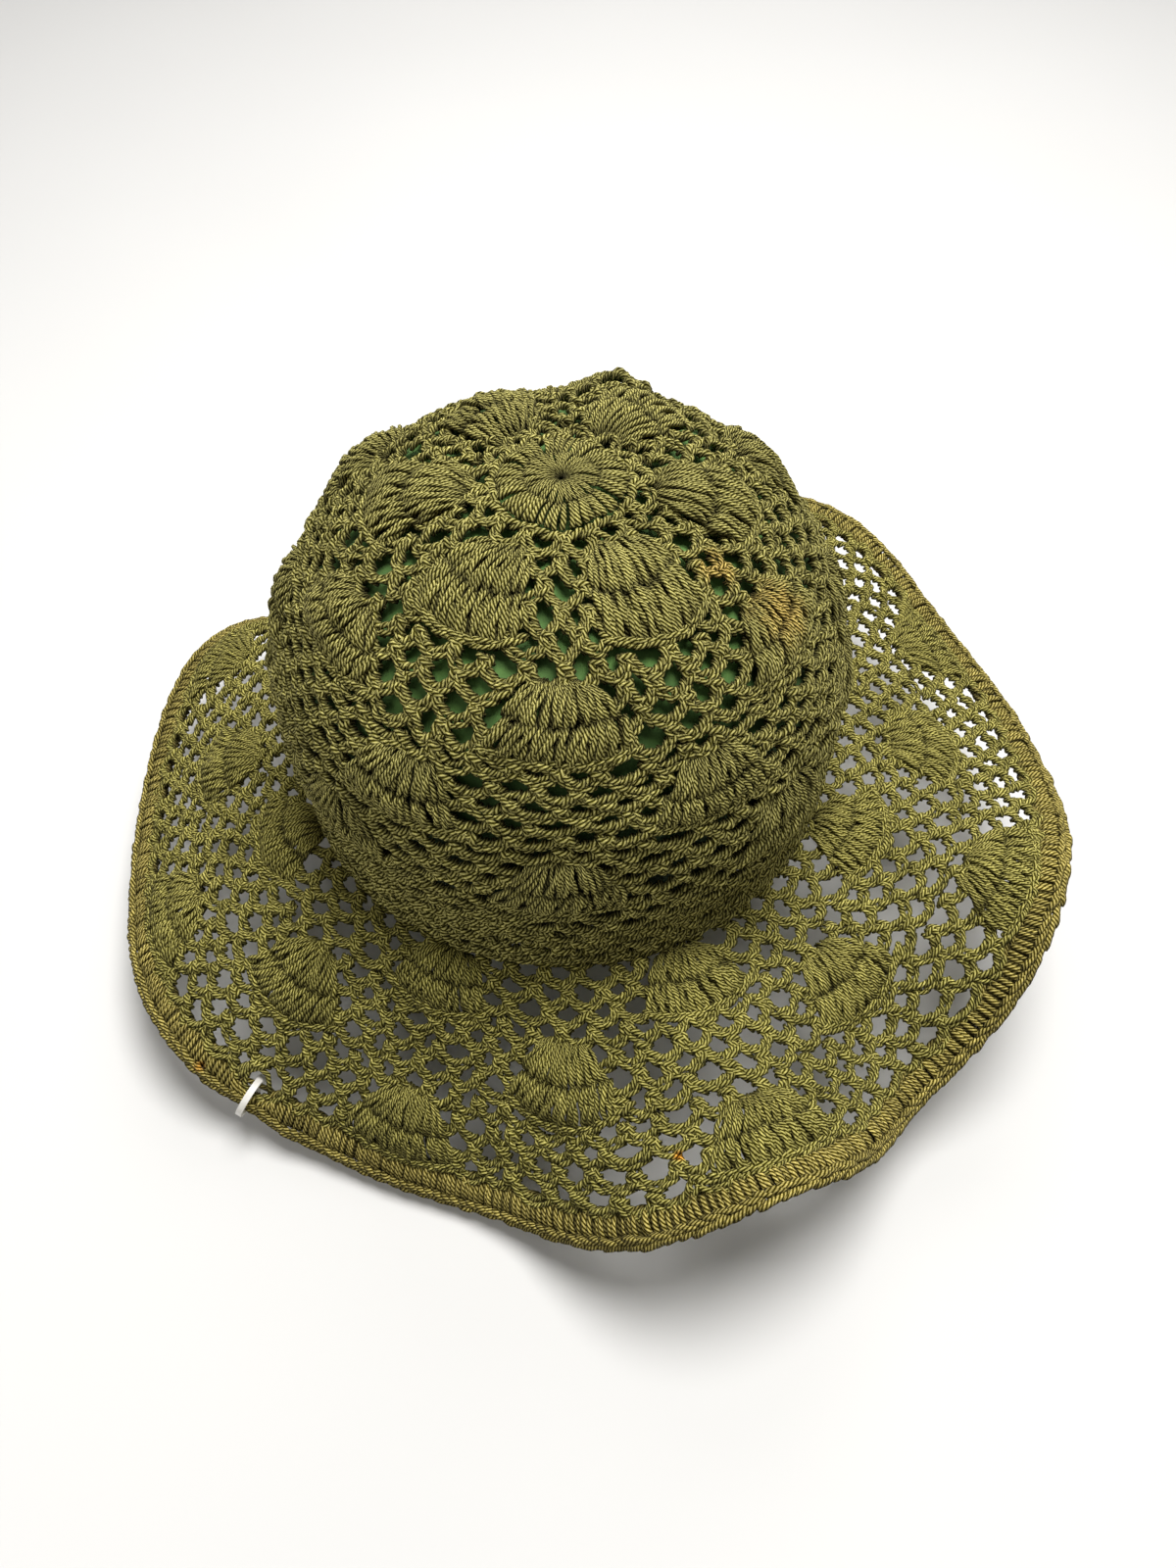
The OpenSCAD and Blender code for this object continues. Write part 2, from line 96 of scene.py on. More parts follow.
def drift(bearing: Array, along: Array, size: float, seed: float) -> Array:
    """Smooth wander of a round over the fabric.

    Args:
        bearing: degrees round the hat.
        along: millimetres down the fabric.
        size: largest wander in millimetres.
        seed: shifts the pattern.

    Returns:
        The wander at each place, in millimetres.
    """
    turn = np.radians(bearing)
    waves = (
        share * np.sin(lobes * turn + pace * along + shift * seed)
        for share, lobes, pace, shift in WANDER_WAVES
    )
    return size * sum(waves)


def ramp(distance: Array, run: float) -> Array:
    """Rises from 0 to 1 over a run."""
    return np.clip(distance / run, 0.0, 1.0)


def arch(share: Array, foot: float, rise: float, power: float) -> Array:
    """Rises from a foot and comes down again over a share of 0 to 1."""
    return foot + rise * np.sin(np.pi * share) ** power


def turn_from(middle: float, bearing: Array, period: float = CIRCLE) -> Array:
    """Gives the shortest turn from the nearest middle, in degrees."""
    return np.mod(bearing - middle + period / 2, period) - period / 2


def round_axis(r: Array, bearing: Array, z: Array) -> Array:
    """Gives places round the hat's axis, with bearing 0 at the front."""
    turn = np.radians(bearing)
    return np.stack([r * np.sin(turn), -r * np.cos(turn), z], axis=-1)


def unit(ways: Array) -> Array:
    """Scales directions to a length of one."""
    return ways / np.linalg.norm(ways, axis=-1, keepdims=True)


@dataclass
class CrownSkin:
    """Outer face of crown and head band, by bearing and distance from the tip."""

    head_r: float = 88.5
    wall: float = 4.2
    swell: float = 3.4
    height: float = 120.0
    swell_z: float = 38.0
    power: float = 2.5
    band_h: float = 16.0
    # How far rounds wander, where they lie calm, and how far lumps rise
    wander: float = 1.3
    twist: float = 0.7
    lump: float = 1.3
    sink: float = 1.8
    calm_tip: float = 25.0
    calm_foot: float = 14.0
    seeds: Place = (1.7, 4.3, 8.9)
    # Dents and swellings: bearing, distance from the tip, height and reach
    bumps: tuple[Four, ...] = (
        (165.0, 70.0, 6.5, 12.0), (184.0, 74.0, -4.5, 11.0), (-157.0, 66.0, 2.5, 14.0),
        (148.0, 90.0, 2.0, 14.0), (82.0, 112.0, -3.5, 42.0),
    )
    # Points on the outline of dome, side and band
    points: tuple[int, int, int] = (181, 41, 9)
    run: Array = field(init=False)
    line: Array = field(init=False)
    out: Array = field(init=False)

    def __post_init__(self) -> None:
        """Works out the meridian once."""
        on_dome, on_side, on_band = self.points
        widest = self.head_r + self.wall + self.swell
        turn = np.radians(np.linspace(0.0, 90.0, on_dome))
        share = 2.0 / self.power
        dome_r = widest * np.sin(turn) ** share
        dome_z = self.swell_z + (self.height - self.swell_z) * np.cos(turn) ** share
        down = np.linspace(0.0, 1.0, on_side)[1:]
        side_r = widest - self.swell * down**2
        side_z = self.swell_z - (self.swell_z - self.band_h) * down
        foot = np.linspace(0.0, 1.0, on_band)[1:]
        band_r = np.full(foot.size, widest - self.swell)
        band_z = self.band_h * (1.0 - foot)
        r = np.concatenate([dome_r, side_r, band_r])
        z = np.concatenate([dome_z, side_z, band_z])
        steps = np.hypot(np.diff(r), np.diff(z))
        self.run = np.concatenate([[0.0], np.cumsum(steps)])
        self.line = np.stack([r, z], axis=1)
        slope = unit(np.gradient(self.line, self.run, axis=0))
        self.out = np.stack([-slope[:, 1], slope[:, 0]], axis=1)

    @property
    def foot(self) -> float:
        """Distance from the tip to the foot of the band."""
        return float(self.run[-1])

    @property
    def band_top(self) -> float:
        """Distance from the tip to the top of the band."""
        return self.foot - self.band_h

    def radius(self, bearing: Array, along: Array) -> Array:
        """Distance from the hat's axis, the same at every bearing."""
        return np.interp(along, self.run, self.line[:, 0])

    def point(self, bearing: Array, along: Array, lift: Array) -> Array:
        """Places on the crown.

        Args:
            bearing: degrees from the front, towards the right of the picture.
            along: millimetres from the tip.
            lift: millimetres off the outer face.

        Returns:
            Points in metres, with one more axis than the inputs.
        """
        bearing, along, lift = np.broadcast_arrays(bearing, along, lift)
        row_seed, turn_seed, lump_seed = self.seeds
        hold = ramp(self.foot - along, self.calm_foot) * ramp(along, self.calm_tip)
        row = along + hold * drift(bearing, along, self.wander, row_seed)
        turn = bearing + hold * drift(bearing, along, self.wander, turn_seed) * self.twist
        rise = lift + hold * (drift(bearing, along, self.lump, lump_seed) - self.sink)
        for middle, far, height, reach in self.bumps:
            across = np.radians(turn_from(middle, bearing)) * self.radius(bearing, along)
            rise = rise + height * np.exp(-(across**2 + (along - far) ** 2) / reach**2)
        r, z = (
            np.interp(row, self.run, self.line[:, axis])
            + rise * np.interp(row, self.run, self.out[:, axis])
            for axis in (0, 1)
        )
        return round_axis(r, turn, z) * MM

    def facing(self, spots: Array) -> Array:
        """Gives the way out of the crown at places in metres."""
        way = spots - np.array([0.0, 0.0, self.swell_z * MM])
        way[:, 2] = np.maximum(way[:, 2], 0.0)
        return unit(way)


@dataclass
class BrimSkin:
    """Upper face of the wavy brim, by bearing and distance out from the band."""

    inner_r: float = 89.3
    width: float = 92.0
    drop: float = 35.0
    curl: float = 1.4
    gap: float = 0.3
    # How far rounds wander, and where they lie calm
    wander: float = 1.0
    twist: float = 0.5
    calm_band: float = 8.0
    calm_edge: float = 12.0
    seeds: tuple[float, float] = (2.9, 6.1)
    # Steps, in millimetres and degrees, that the slope is felt over
    feel: float = 0.5
    feel_turn: float = 0.4
    # Where the loop passes, and how far it parts the net
    loop_bearing: float = -42.2
    loop_along: float = 79.2
    loop_reach: float = 8.5
    loop_least: float = 0.2
    loop_push: float = 0.5
    # How the edging is drawn in towards its middle inside the loop
    pinch: float = 0.26
    pinch_half: float = 9.0
    pinch_from: float = 78.0
    pinch_run: float = 3.0
    edging_along: float = 86.3
    edging_lift: float = -1.1
    # The edge's waves: count round the hat, height, and bearing of a crest
    waves: tuple[tuple[int, float, float], ...] = (
        (1, 21.2, 73.0), (2, 13.9, 86.7), (3, 10.8, 24.0), (4, 2.6, -43.5), (5, 8.1, 10.9),
        (6, 9.6, 14.8), (7, 2.1, 24.2), (8, 5.3, 19.0), (9, 2.5, -16.3), (10, 1.9, -13.9),
    )

    def edge_z(self, bearing: Array) -> Array:
        """Height of the outer edge."""
        height = np.full(np.shape(bearing), -self.drop)
        for lobes, size, crest in self.waves:
            height = height + size * np.cos(np.radians(lobes * (bearing - crest)))
        return height

    def radius(self, bearing: Array, along: Array) -> Array:
        """Distance from the hat's axis."""
        reach = np.sqrt(self.width**2 - self.edge_z(bearing) ** 2)
        return self.inner_r + reach * along / self.width

    def sheet(self, bearing: Array, along: Array) -> Array:
        """Bare places on the upper face, in millimetres."""
        share = np.maximum(along, 0.0) / self.width
        z = self.edge_z(bearing) * share**self.curl - self.gap
        return round_axis(self.radius(bearing, along), bearing, z)

    def point(self, bearing: Array, along: Array, lift: Array) -> Array:
        """Places on the brim.

        Args:
            bearing: degrees from the front.
            along: millimetres out from the band.
            lift: millimetres above the upper face.

        Returns:
            Points in metres, with one more axis than the inputs.
        """
        bearing, along, lift = np.broadcast_arrays(bearing, along, lift)
        row_seed, turn_seed = self.seeds
        inside = self.width - along - self.calm_edge
        hold = ramp(inside, self.calm_edge) * ramp(along, self.calm_band)
        row = along + hold * drift(bearing, along, self.wander, row_seed)
        turn = bearing + hold * drift(bearing, along, self.wander, turn_seed) * self.twist
        turn, row, lift = self._make_room(turn, row, lift)
        outward = self.sheet(turn, row + self.feel) - self.sheet(turn, row - self.feel)
        around = self.sheet(turn + self.feel_turn, row) - self.sheet(turn - self.feel_turn, row)
        up = unit(np.cross(outward, around))
        return (self.sheet(turn, row) + up * lift[..., None]) * MM

    def facing(self, spots: Array) -> Array:
        """Gives the way up off the brim, which is the same at all places."""
        return np.broadcast_to((0.0, 0.0, 1.0), spots.shape)

    def _make_room(self, turn: Array, row: Array, lift: Array) -> Spots:
        """Parts the net and draws the edging in where the loop passes.

        Args:
            turn: degrees from the front.
            row: millimetres out from the band.
            lift: millimetres above the upper face.

        Returns:
            The three, moved aside near the loop.
        """
        reach = np.radians(self.radius(turn, row))
        across, out = turn_from(self.loop_bearing, turn) * reach, row - self.loop_along
        gap = np.maximum(np.hypot(across, out), self.loop_least)
        push = self.loop_push * np.clip(self.loop_reach - gap, 0.0, None) / gap
        near = np.exp(-((across / self.pinch_half) ** 4))
        near = near * ramp(row - self.pinch_from, self.pinch_run)
        draw = 1.0 - self.pinch * near
        row = self.edging_along + (row + push * out - self.edging_along) * draw
        lift = self.edging_lift + (lift - self.edging_lift) * draw
        return turn + push * across / reach, row, lift


Skin = CrownSkin | BrimSkin


def add_object(name: str, data: ID) -> Object:
    """Puts a mesh, a lamp or a camera into the scene."""
    made = bpy.data.objects.new(name, data)
    bpy.context.collection.objects.link(made)
    return made


def finish_piece(piece: Object, body: Body, slot: Slot, *nodes: str) -> None:
    """Puts a piece on its body, in the place of CAD nodes, and logs it.

    Args:
        piece: the finished object.
        body: the body that carries it.
        slot: the record's material slot; not used.
        nodes: the CAD nodes that it stands for.
    """
    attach(piece, body.value)
    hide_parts(*nodes)
    LOG.info("%s: %d faces for %s", piece.name, len(piece.data.polygons), ", ".join(nodes))


@dataclass
class Strands:
    """The yarn paths that one piece is made of."""

    seed: int
    skin: Skin
    # Fans that take the place of the yarn
    fans: tuple["FanTier", ...] = ()
    # Slack in the yarn, its share of sway, and how much strands and points differ in width
    slack: float = 0.22
    sway: float = 0.6
    strand_widths: tuple[float, float] = (0.88, 1.12)
    point_widths: tuple[float, float] = (0.93, 1.07)
    # Reach of two wound strands, across the ring and up
    ring_wide: float = 0.9
    ring_high: float = 0.8
    paths: list[Array] = field(default_factory=list)
    layers: list[dict[str, Array]] = field(default_factory=list)
    rng: np.random.Generator = field(init=False)

    def __post_init__(self) -> None:
        """Starts the fixed random draw."""
        self.rng = np.random.default_rng(self.seed)

    def jitter(self, size: float, *shape: int) -> Array:
        """Draws differences of up to a size either way."""
        return self.rng.uniform(-size, size, shape)

    def hidden(self, bearing: Array, along: Array, margin: float) -> Array:
        """Finds the places that a fan covers, its outline drawn in by a margin."""
        return np.any([fan.covers(self.skin, bearing, along, margin) for fan in self.fans], axis=0)

    def lay(self, spots: Spots, rise: Array | float, radius: Array | float, taper: float) -> None:
        """Takes in strands of equal count of points.

        Args:
            spots: bearing, distance along and lift; the last axis runs along a strand.
            rise: height of each point over its stitch's bed, in millimetres, which also sets the
                painted shade on low strands.
            radius: the yarn's half width in millimetres, one number or one for each point.
            taper: share of the radius that is lost at the two ends.
        """
        points = self.skin.point(*spots)
        rise = np.broadcast_to(rise, points.shape[:-1])
        points = points.reshape(-1, points.shape[-2], 3)
        count, length = points.shape[:2]
        if count == 0:
            return
        run = np.linspace(0.0, 1.0, length)[None, :, None]
        bow = self.rng.normal(0.0, self.slack * MM, (count, 1, 3)) * np.sin(np.pi * run)
        sway = self.rng.normal(0.0, self.sway * self.slack * MM, (count, 1, 3))
        sway = sway * np.sin(2.0 * np.pi * run)
        ends = 1.0 - taper * np.abs(np.linspace(-1.0, 1.0, length)) ** 4
        scale = self.rng.uniform(*self.strand_widths, (count, 1))
        scale = scale * self.rng.uniform(*self.point_widths, (count, length))
        tint = self.rng.uniform(0.0, 1.0, (count, 1))
        self.paths.append(points + bow + sway)
        width = radius * MM * ends[None, :] * scale
        tint = np.repeat(tint, length, axis=1)
        self.layers.append({"half_width": width, "tint": tint, "rise": rise})

    def lay_ring(self, along: float, lift: float, twists: int, points: int, radius: float) -> None:
        """Lays two strands, wound round each other, right round the hat.

        Args:
            along: where the ring lies on the fabric.
            lift: its height over the fabric.
            twists: turns of the two strands.
            points: points on each strand.
            radius: the yarn's half width in millimetres.
        """
        turn = np.linspace(0.0, CIRCLE, points)[None, :]
        for leg in LEGS:
            wind = np.radians(turn) * twists + leg
            high = lift + self.ring_high * np.sin(wind)
            self.lay((turn, along + self.ring_wide * np.cos(wind), high), high, radius, 0.0)

    def guide(self, name: str) -> Object:
        """Makes the bare lines that the sweep follows.

        Args:
            name: the piece's name.

        Returns:
            An object whose mesh has vertices and edges only.
        """
        links, start = [], 0
        for group in self.paths:
            count, length = group.shape[:2]
            ids = start + np.arange(count * length).reshape(count, length)
            links.append(np.stack([ids[:, :-1], ids[:, 1:]], axis=-1).reshape(-1, 2))
            start += count * length
        spots = np.concatenate([group.reshape(-1, 3) for group in self.paths])
        edges = np.concatenate(links)
        mesh = bpy.data.meshes.new(name)
        mesh.vertices.add(len(spots))
        mesh.vertices.foreach_set("co", spots.astype(np.float32).ravel())
        mesh.edges.add(len(edges))
        mesh.edges.foreach_set("vertices", edges.astype(np.int32).ravel())
        for key in self.layers[0]:
            layer = mesh.attributes.new(key, "FLOAT", "POINT")
            flat = np.concatenate([group[key].ravel() for group in self.layers])
            layer.data.foreach_set("value", flat.astype(np.float32))
        layer = mesh.attributes.new("fabric_up", "FLOAT_VECTOR", "POINT")
        layer.data.foreach_set("vector", self.skin.facing(spots).astype(np.float32).ravel())
        mesh.update()
        return add_object(name, mesh)


def new_group(
    name: str, kind: str, inputs: dict[str, str], outputs: dict[str, str]
) -> NodeTree:
    """Makes an empty node group.

    Args:
        name: the group's name.
        kind: Blender's name of the tree.
        inputs: kind of socket by name.
        outputs: the same for what comes out.

    Returns:
        The group, with its sockets.
    """
    tree = bpy.data.node_groups.new(name, kind)
    for way, sockets in (("INPUT", inputs), ("OUTPUT", outputs)):
        for key, socket in sockets.items():
            tree.interface.new_socket(key, in_out=way, socket_type="NodeSocket" + socket)
    return tree


class NodeKit:
    """Helpers that place nodes in one tree."""

    def __init__(self, tree: NodeTree) -> None:
        """Takes the tree to fill."""
        self.tree = tree

    def feed(self, target: Socket, item: object) -> None:
        """Links a socket to an input, or sets the input's value.

        Args:
            target: the input.
            item: a socket or a value.
        """
        if isinstance(item, Socket):
            self.tree.links.new(item, target)
        else:
            target.default_value = item

    def fill(self, node: Node, **values: object) -> None:
        """Feeds a node's inputs by name, with spaces as underscores."""
        for key, item in values.items():
            self.feed(node.inputs[key.replace("_", " ")], item)

    def node(self, kind: str, *terms: object, **values: object) -> NodeOutputs:
        """Adds a node.

        Args:
            kind: Blender's name of the node.
            terms: sockets or values for the first inputs, in their order.
            values: settings, in lower case, and inputs by name, with a capital.

        Returns:
            The node's outputs.
        """
        made = self.tree.nodes.new(kind)
        for key in filter(str.islower, values):
            setattr(made, key, values[key])
        for target, item in zip(made.inputs, terms):
            self.feed(target, item)
        self.fill(made, **{key: item for key, item in values.items() if not key.islower()})
        return made.outputs

    def math(self, operation: str, *terms: object) -> Socket:
        """Adds a Math node for numbers or sockets."""
        return self.node("ShaderNodeMath", *terms, operation=operation)["Value"]

    def times(self, first: object, second: object) -> Socket:
        """Multiplies two numbers."""
        return self.math("MULTIPLY", first, second)

    def scaled(self, source: Socket, gain: object, shift: object) -> Socket:
        """Multiplies a number by a gain and adds a shift."""
        return self.math("MULTIPLY_ADD", source, gain, shift)

    def split(self, vector: Socket) -> NodeOutputs:
        """Takes a vector apart."""
        return self.node("ShaderNodeSeparateXYZ", Vector=vector)

    def value(self, name: str) -> Socket:
        """Reads a number stored on the mesh, in a shader."""
        return self.node("ShaderNodeAttribute", attribute_name=name)["Fac"]

    def stored(self, name: str, kind: str) -> Socket:
        """Reads an attribute, in a geometry tree."""
        return self.node("GeometryNodeInputNamedAttribute", data_type=kind, Name=name)["Attribute"]

    def keep(self, geometry: Socket, name: str, number: Socket) -> Socket:
        """Stores a number on points, in a geometry tree, and passes the geometry on."""
        return self.node(
            "GeometryNodeStoreNamedAttribute", data_type="FLOAT", domain="POINT",
            Geometry=geometry, Name=name, Value=number,
        )["Geometry"]

    def place(self) -> Socket:
        """Reads the place on the object."""
        return self.node("ShaderNodeTexCoord")["Object"]

    def noise(self, vector: Socket, scale: float, detail: float) -> Socket:
        """Adds a noise pattern and gives its number."""
        return self.node("ShaderNodeTexNoise", Vector=vector, Scale=scale, Detail=detail)["Fac"]

    def span(self, source: Socket, low: float, high: float) -> Socket:
        """Turns a number into 0 at low and 1 at high, with soft ends."""
        return self.node(
            "ShaderNodeMapRange", interpolation_type="SMOOTHSTEP",
            Value=source, From_Min=low, From_Max=high,
        )["Result"]

    def bump(self, height: Socket, strength: float, distance: float) -> Socket:
        """Turns a height into a normal."""
        return self.node(
            "ShaderNodeBump", Strength=strength, Distance=distance, Height=height
        )["Normal"]

    def blend(self, share: object, first: object, second: object, mode: str = "MIX") -> Socket:
        """Mixes two colours.

        Args:
            share: number or socket, 0 for the first colour.
            first: colour or socket.
            second: colour or socket.
            mode: Blender's blend mode.

        Returns:
            The mixed colour's socket.
        """
        made = self.tree.nodes.new("ShaderNodeMix")
        made.data_type, made.blend_type = "RGBA", mode
        for index, item in zip(MIX_INPUTS, (share, first, second)):
            self.feed(made.inputs[index], item)
        return made.outputs[MIX_OUTPUT]


class YarnSweep:
    """Geometry Nodes tree that sweeps a yarn along every line of a guide."""

    # Faces round the yarn, and a factor on its width
    SIDES = 5
    PLUMPNESS = 1.0

    def __init__(self) -> None:
        """Builds the tree."""
        inputs = {"Guide": "Geometry", "Sides": "Int", "Plumpness": "Float", "Yarn": "Material"}
        self.tree = new_group("yarn_sweep", "GeometryNodeTree", inputs, {"Fabric": "Geometry"})
        self._wire()

    def _wire(self) -> None:
        """Links guide, profile, sweep, smoothing and material."""
        kit = NodeKit(self.tree)
        begin = kit.node("NodeGroupInput")
        rail = kit.node("GeometryNodeMeshToCurve", Mesh=begin["Guide"])["Curve"]
        rail = kit.keep(rail, "along", kit.node("GeometryNodeSplineParameter")["Length"])
        ring = kit.node("GeometryNodeCurvePrimitiveCircle", Radius=1.0, Resolution=begin["Sides"])
        spot = kit.split(kit.node("GeometryNodeInputPosition")["Position"])
        profile = kit.keep(ring["Curve"], "ply_x", spot["X"])
        profile = kit.keep(profile, "ply_y", spot["Y"])
        width = kit.times(kit.stored("half_width", "FLOAT"), begin["Plumpness"])
        yarn = kit.node(
            "GeometryNodeCurveToMesh", Curve=rail, Profile_Curve=profile,
            Scale=width, Fill_Caps=True,
        )["Mesh"]
        yarn = kit.node("GeometryNodeSetShadeSmooth", Geometry=yarn)["Geometry"]
        # How far each point faces off the fabric, which the yarn finishes use for painted shade on
        # strand flanks and undersides
        normal = kit.node("GeometryNodeInputNormal")["Normal"]
        yarn = kit.keep(yarn, "upward", kit.split(normal)["Z"])
        fabric_up = kit.stored("fabric_up", "FLOAT_VECTOR")
        crest = kit.node("ShaderNodeVectorMath", normal, fabric_up, operation="DOT_PRODUCT")
        yarn = kit.keep(yarn, "crest", crest["Value"])
        real = kit.node("GeometryNodeRealizeInstances", Geometry=yarn)["Geometry"]
        paint = kit.node("GeometryNodeSetMaterial", Geometry=real, Material=begin["Yarn"])
        kit.node("NodeGroupOutput", Fabric=paint["Geometry"])

    def work(self, strands: Strands, node: str, yarn: Material) -> None:
        """Sweeps the strands into a plain mesh that takes a CAD node's place.

        Args:
            strands: the paths.
            node: the CAD node's name.
            yarn: the material.
        """
        name = node + "_yarn"
        guide = strands.guide(name + "_guide")
        sweep = guide.modifiers.new("sweep", "NODES")
        sweep.node_group = self.tree
        chosen = {"Sides": self.SIDES, "Plumpness": self.PLUMPNESS, "Yarn": yarn}
        for socket in self.tree.interface.items_tree:
            if socket.name in chosen:
                sweep[socket.identifier] = chosen[socket.name]
        graph = bpy.context.evaluated_depsgraph_get()
        mesh = bpy.data.meshes.new_from_object(guide.evaluated_get(graph))
        mesh.name = name
        made = add_object(name, mesh)
        lines = guide.data
        bpy.data.objects.remove(guide)
        bpy.data.meshes.remove(lines)
        finish_piece(made, Body.HAT, Slot.YARN, node)


def tone(red: int, green: int, blue: int) -> Colour:
    """Turns a screen colour of 0 to 255 into Blender's linear colour."""
    parts = [part / 255.0 for part in (red, green, blue)]
    return (*(p / 12.92 if p <= 0.04045 else ((p + 0.055) / 1.055) ** 2.4 for p in parts), 1.0)


def new_material(name: str) -> tuple[Material, NodeKit, Node]:
    """Makes a material, and gives its kit and its Principled node with it."""
    made = bpy.data.materials.new(name)
    made.use_nodes = True
    return made, NodeKit(made.node_tree), made.node_tree.nodes["Principled BSDF"]


class SharedEffects:
    """Shader node groups that several finishes use."""

    # How far each strand's tint shifts its plies and its fibres, and the fibres' stretch
    PLY_SHIFT = 37.0
    FIBRE_SHIFT = 91.0
    FIBRE_ALONG = 260.0
    FIBRE_ROUND = 2.6

    def __init__(self) -> None:
        """Builds each group once."""
        self.ply = self._ply_twist()
        self.patch = self._soft_patch()

    def _ply_twist(self) -> NodeTree:
        """Plies that wind round a yarn, with fibres along them, and the levels for painted shade on
        low strands and strand flanks.

        Returns:
            The node group.
        """
        inputs = dict.fromkeys(("Half Plies", "Lay", "Open Below"), "Float")
        outputs = dict.fromkeys(("Ridge", "Fibre", "Tint", "Depth", "Crest"), "Float")
        tree = new_group("ply_twist", "ShaderNodeTree", inputs, outputs)
        kit = NodeKit(tree)
        begin = kit.node("NodeGroupInput")
        across, beside = kit.value("ply_x"), kit.value("ply_y")
        along, tint = kit.value("along"), kit.value("tint")
        wound = kit.scaled(along, begin["Lay"], kit.math("ARCTAN2", beside, across))
        phase = kit.scaled(tint, self.PLY_SHIFT, kit.times(wound, begin["Half Plies"]))
        lay = kit.node(
            "ShaderNodeCombineXYZ",
            X=kit.scaled(along, self.FIBRE_ALONG, kit.times(tint, self.FIBRE_SHIFT)),
            Y=kit.times(across, self.FIBRE_ROUND),
            Z=kit.times(beside, self.FIBRE_ROUND),
        )
        # Painted shade: strands low in their stitch darken, except faces turned down where Open
        # Below is set; the last output sets painted shade on strand flanks
        below = kit.times(kit.span(kit.value("upward"), 0.1, -0.5), begin["Open Below"])
        kit.node(
            "NodeGroupOutput",
            Ridge=kit.math("ABSOLUTE", kit.math("SINE", phase)),
            Fibre=kit.noise(lay["Vector"], 1.6, 4.0),
            Tint=tint,
            Depth=kit.math("MAXIMUM", kit.span(kit.value("rise"), -1.3, 0.7), below),
            Crest=kit.span(kit.math("ABSOLUTE", kit.value("crest")), 0.1, 0.85),
        )
        return tree

    def _soft_patch(self) -> NodeTree:
        """A blotch with a ragged edge round one place on the object.

        Returns:
            The node group.
        """
        inputs = {"Centre": "Vector", "Reach": "Float"}
        tree = new_group("soft_patch", "ShaderNodeTree", inputs, {"Mask": "Float"})
        kit = NodeKit(tree)
        begin = kit.node("NodeGroupInput")
        spot = kit.place()
        gap = kit.node("ShaderNodeVectorMath", spot, begin["Centre"], operation="DISTANCE")
        near = kit.math("DIVIDE", gap["Value"], begin["Reach"])
        ragged = kit.scaled(kit.noise(spot, 320.0, 4.0), 1.1, near)
        kit.node("NodeGroupOutput", Mask=kit.math("SUBTRACT", 1.0, kit.span(ragged, 0.75, 1.65)))
        return tree


@dataclass(frozen=True)
class YarnFinish:
    """Twisted cotton yarn with bleached blotches, painted shade in ply furrows, on low strands and
    strand flanks, and painted highlights on ply and strand tops.
    """

    name: str
    # Ply tones: furrow is painted shade between the plies, body the yarn's own tone, and crest a
    # painted highlight on the plies
    furrow: Colour
    body: Colour
    crest: Colour
    lay_mm: float = 5.8
    plies: int = 4
    ply_depth_mm: float = 0.3
    fibre_depth_mm: float = 0.05
    streak_share: float = 0.6
    broad_per_m: float = 55.0
    # Blotches: place in millimetres and reach
    patches: tuple[Four, ...] = ()
    patch_tone: Colour = (1.7, 1.3, 1.1, 1.0)
    patch_share: float = 0.75
    # Painted shade: how dark the lowest strands and the strand flanks get, the painted highlight on
    # strand tops, and how far down-facing undersides escape the painted shade
    bed_shade: float = 0.22
    flank_shade: float = 0.45
    painted_crest_highlight: float = 1.15
    open_below: float = 1.0

    def make(self, effects: SharedEffects) -> Material:
        """Builds the material.

        Args:
            effects: the shared node groups.

        Returns:
            The finished material.
        """
        made, kit, shader = new_material(self.name)
        twist = kit.node(
            "ShaderNodeGroup", node_tree=effects.ply, Half_Plies=self.plies / 2.0,
            Lay=2.0 * math.pi / (self.lay_mm * MM), Open_Below=self.open_below,
        )
        ridge, fibre = twist["Ridge"], twist["Fibre"]
        # Painted shade in the ply furrows, then a painted highlight on the ply ridges
        painted_furrow_shade = kit.blend(kit.span(ridge, 0.05, 0.6), self.furrow, self.body)
        painted_ply_light = kit.blend(kit.span(ridge, 0.55, 1.0), painted_furrow_shade, self.crest)
        streaked = kit.blend(self.streak_share, painted_ply_light, self.furrow)
        shaded = kit.blend(kit.span(fibre, 0.3, 0.72), streaked, painted_ply_light)
        strand = kit.scaled(twist["Tint"], 0.36, 0.82)
        broad = kit.scaled(kit.noise(kit.place(), self.broad_per_m, 2.0), 0.5, 0.75)
        # Painted shade on low strands and strand flanks and a painted highlight on strand tops,
        # times each strand's random tone and a broad random tone
        bed = kit.scaled(twist["Depth"], 1.0 - self.bed_shade, self.bed_shade)
        painted_flank_light = kit.scaled(twist["Crest"], self.painted_crest_highlight - self.flank_shade, self.flank_shade)
        level = kit.times(kit.times(strand, broad), kit.times(bed, painted_flank_light))
        grey = kit.node("ShaderNodeCombineColor", level, level, level)
        colour = kit.blend(1.0, shaded, grey["Color"], "MULTIPLY")
        for x, y, z, reach in self.patches:
            blot = kit.node(
                "ShaderNodeGroup", node_tree=effects.patch,
                Centre=(x * MM, y * MM, z * MM), Reach=reach * MM,
            )
            warm = kit.blend(1.0, colour, self.patch_tone, "MULTIPLY")
            colour = kit.blend(kit.times(blot["Mask"], self.patch_share), colour, warm)
        height = kit.scaled(fibre, self.fibre_depth_mm, kit.times(ridge, self.ply_depth_mm))
        kit.fill(
            shader, Base_Color=colour, Roughness=kit.scaled(fibre, 0.2, 0.68),
            Normal=kit.bump(height, 1.0, MM), Specular_IOR_Level=0.06, Sheen_Weight=0.02,
            Sheen_Roughness=0.45, Sheen_Tint=(0.9, 0.86, 0.62, 1.0),
        )
        return made


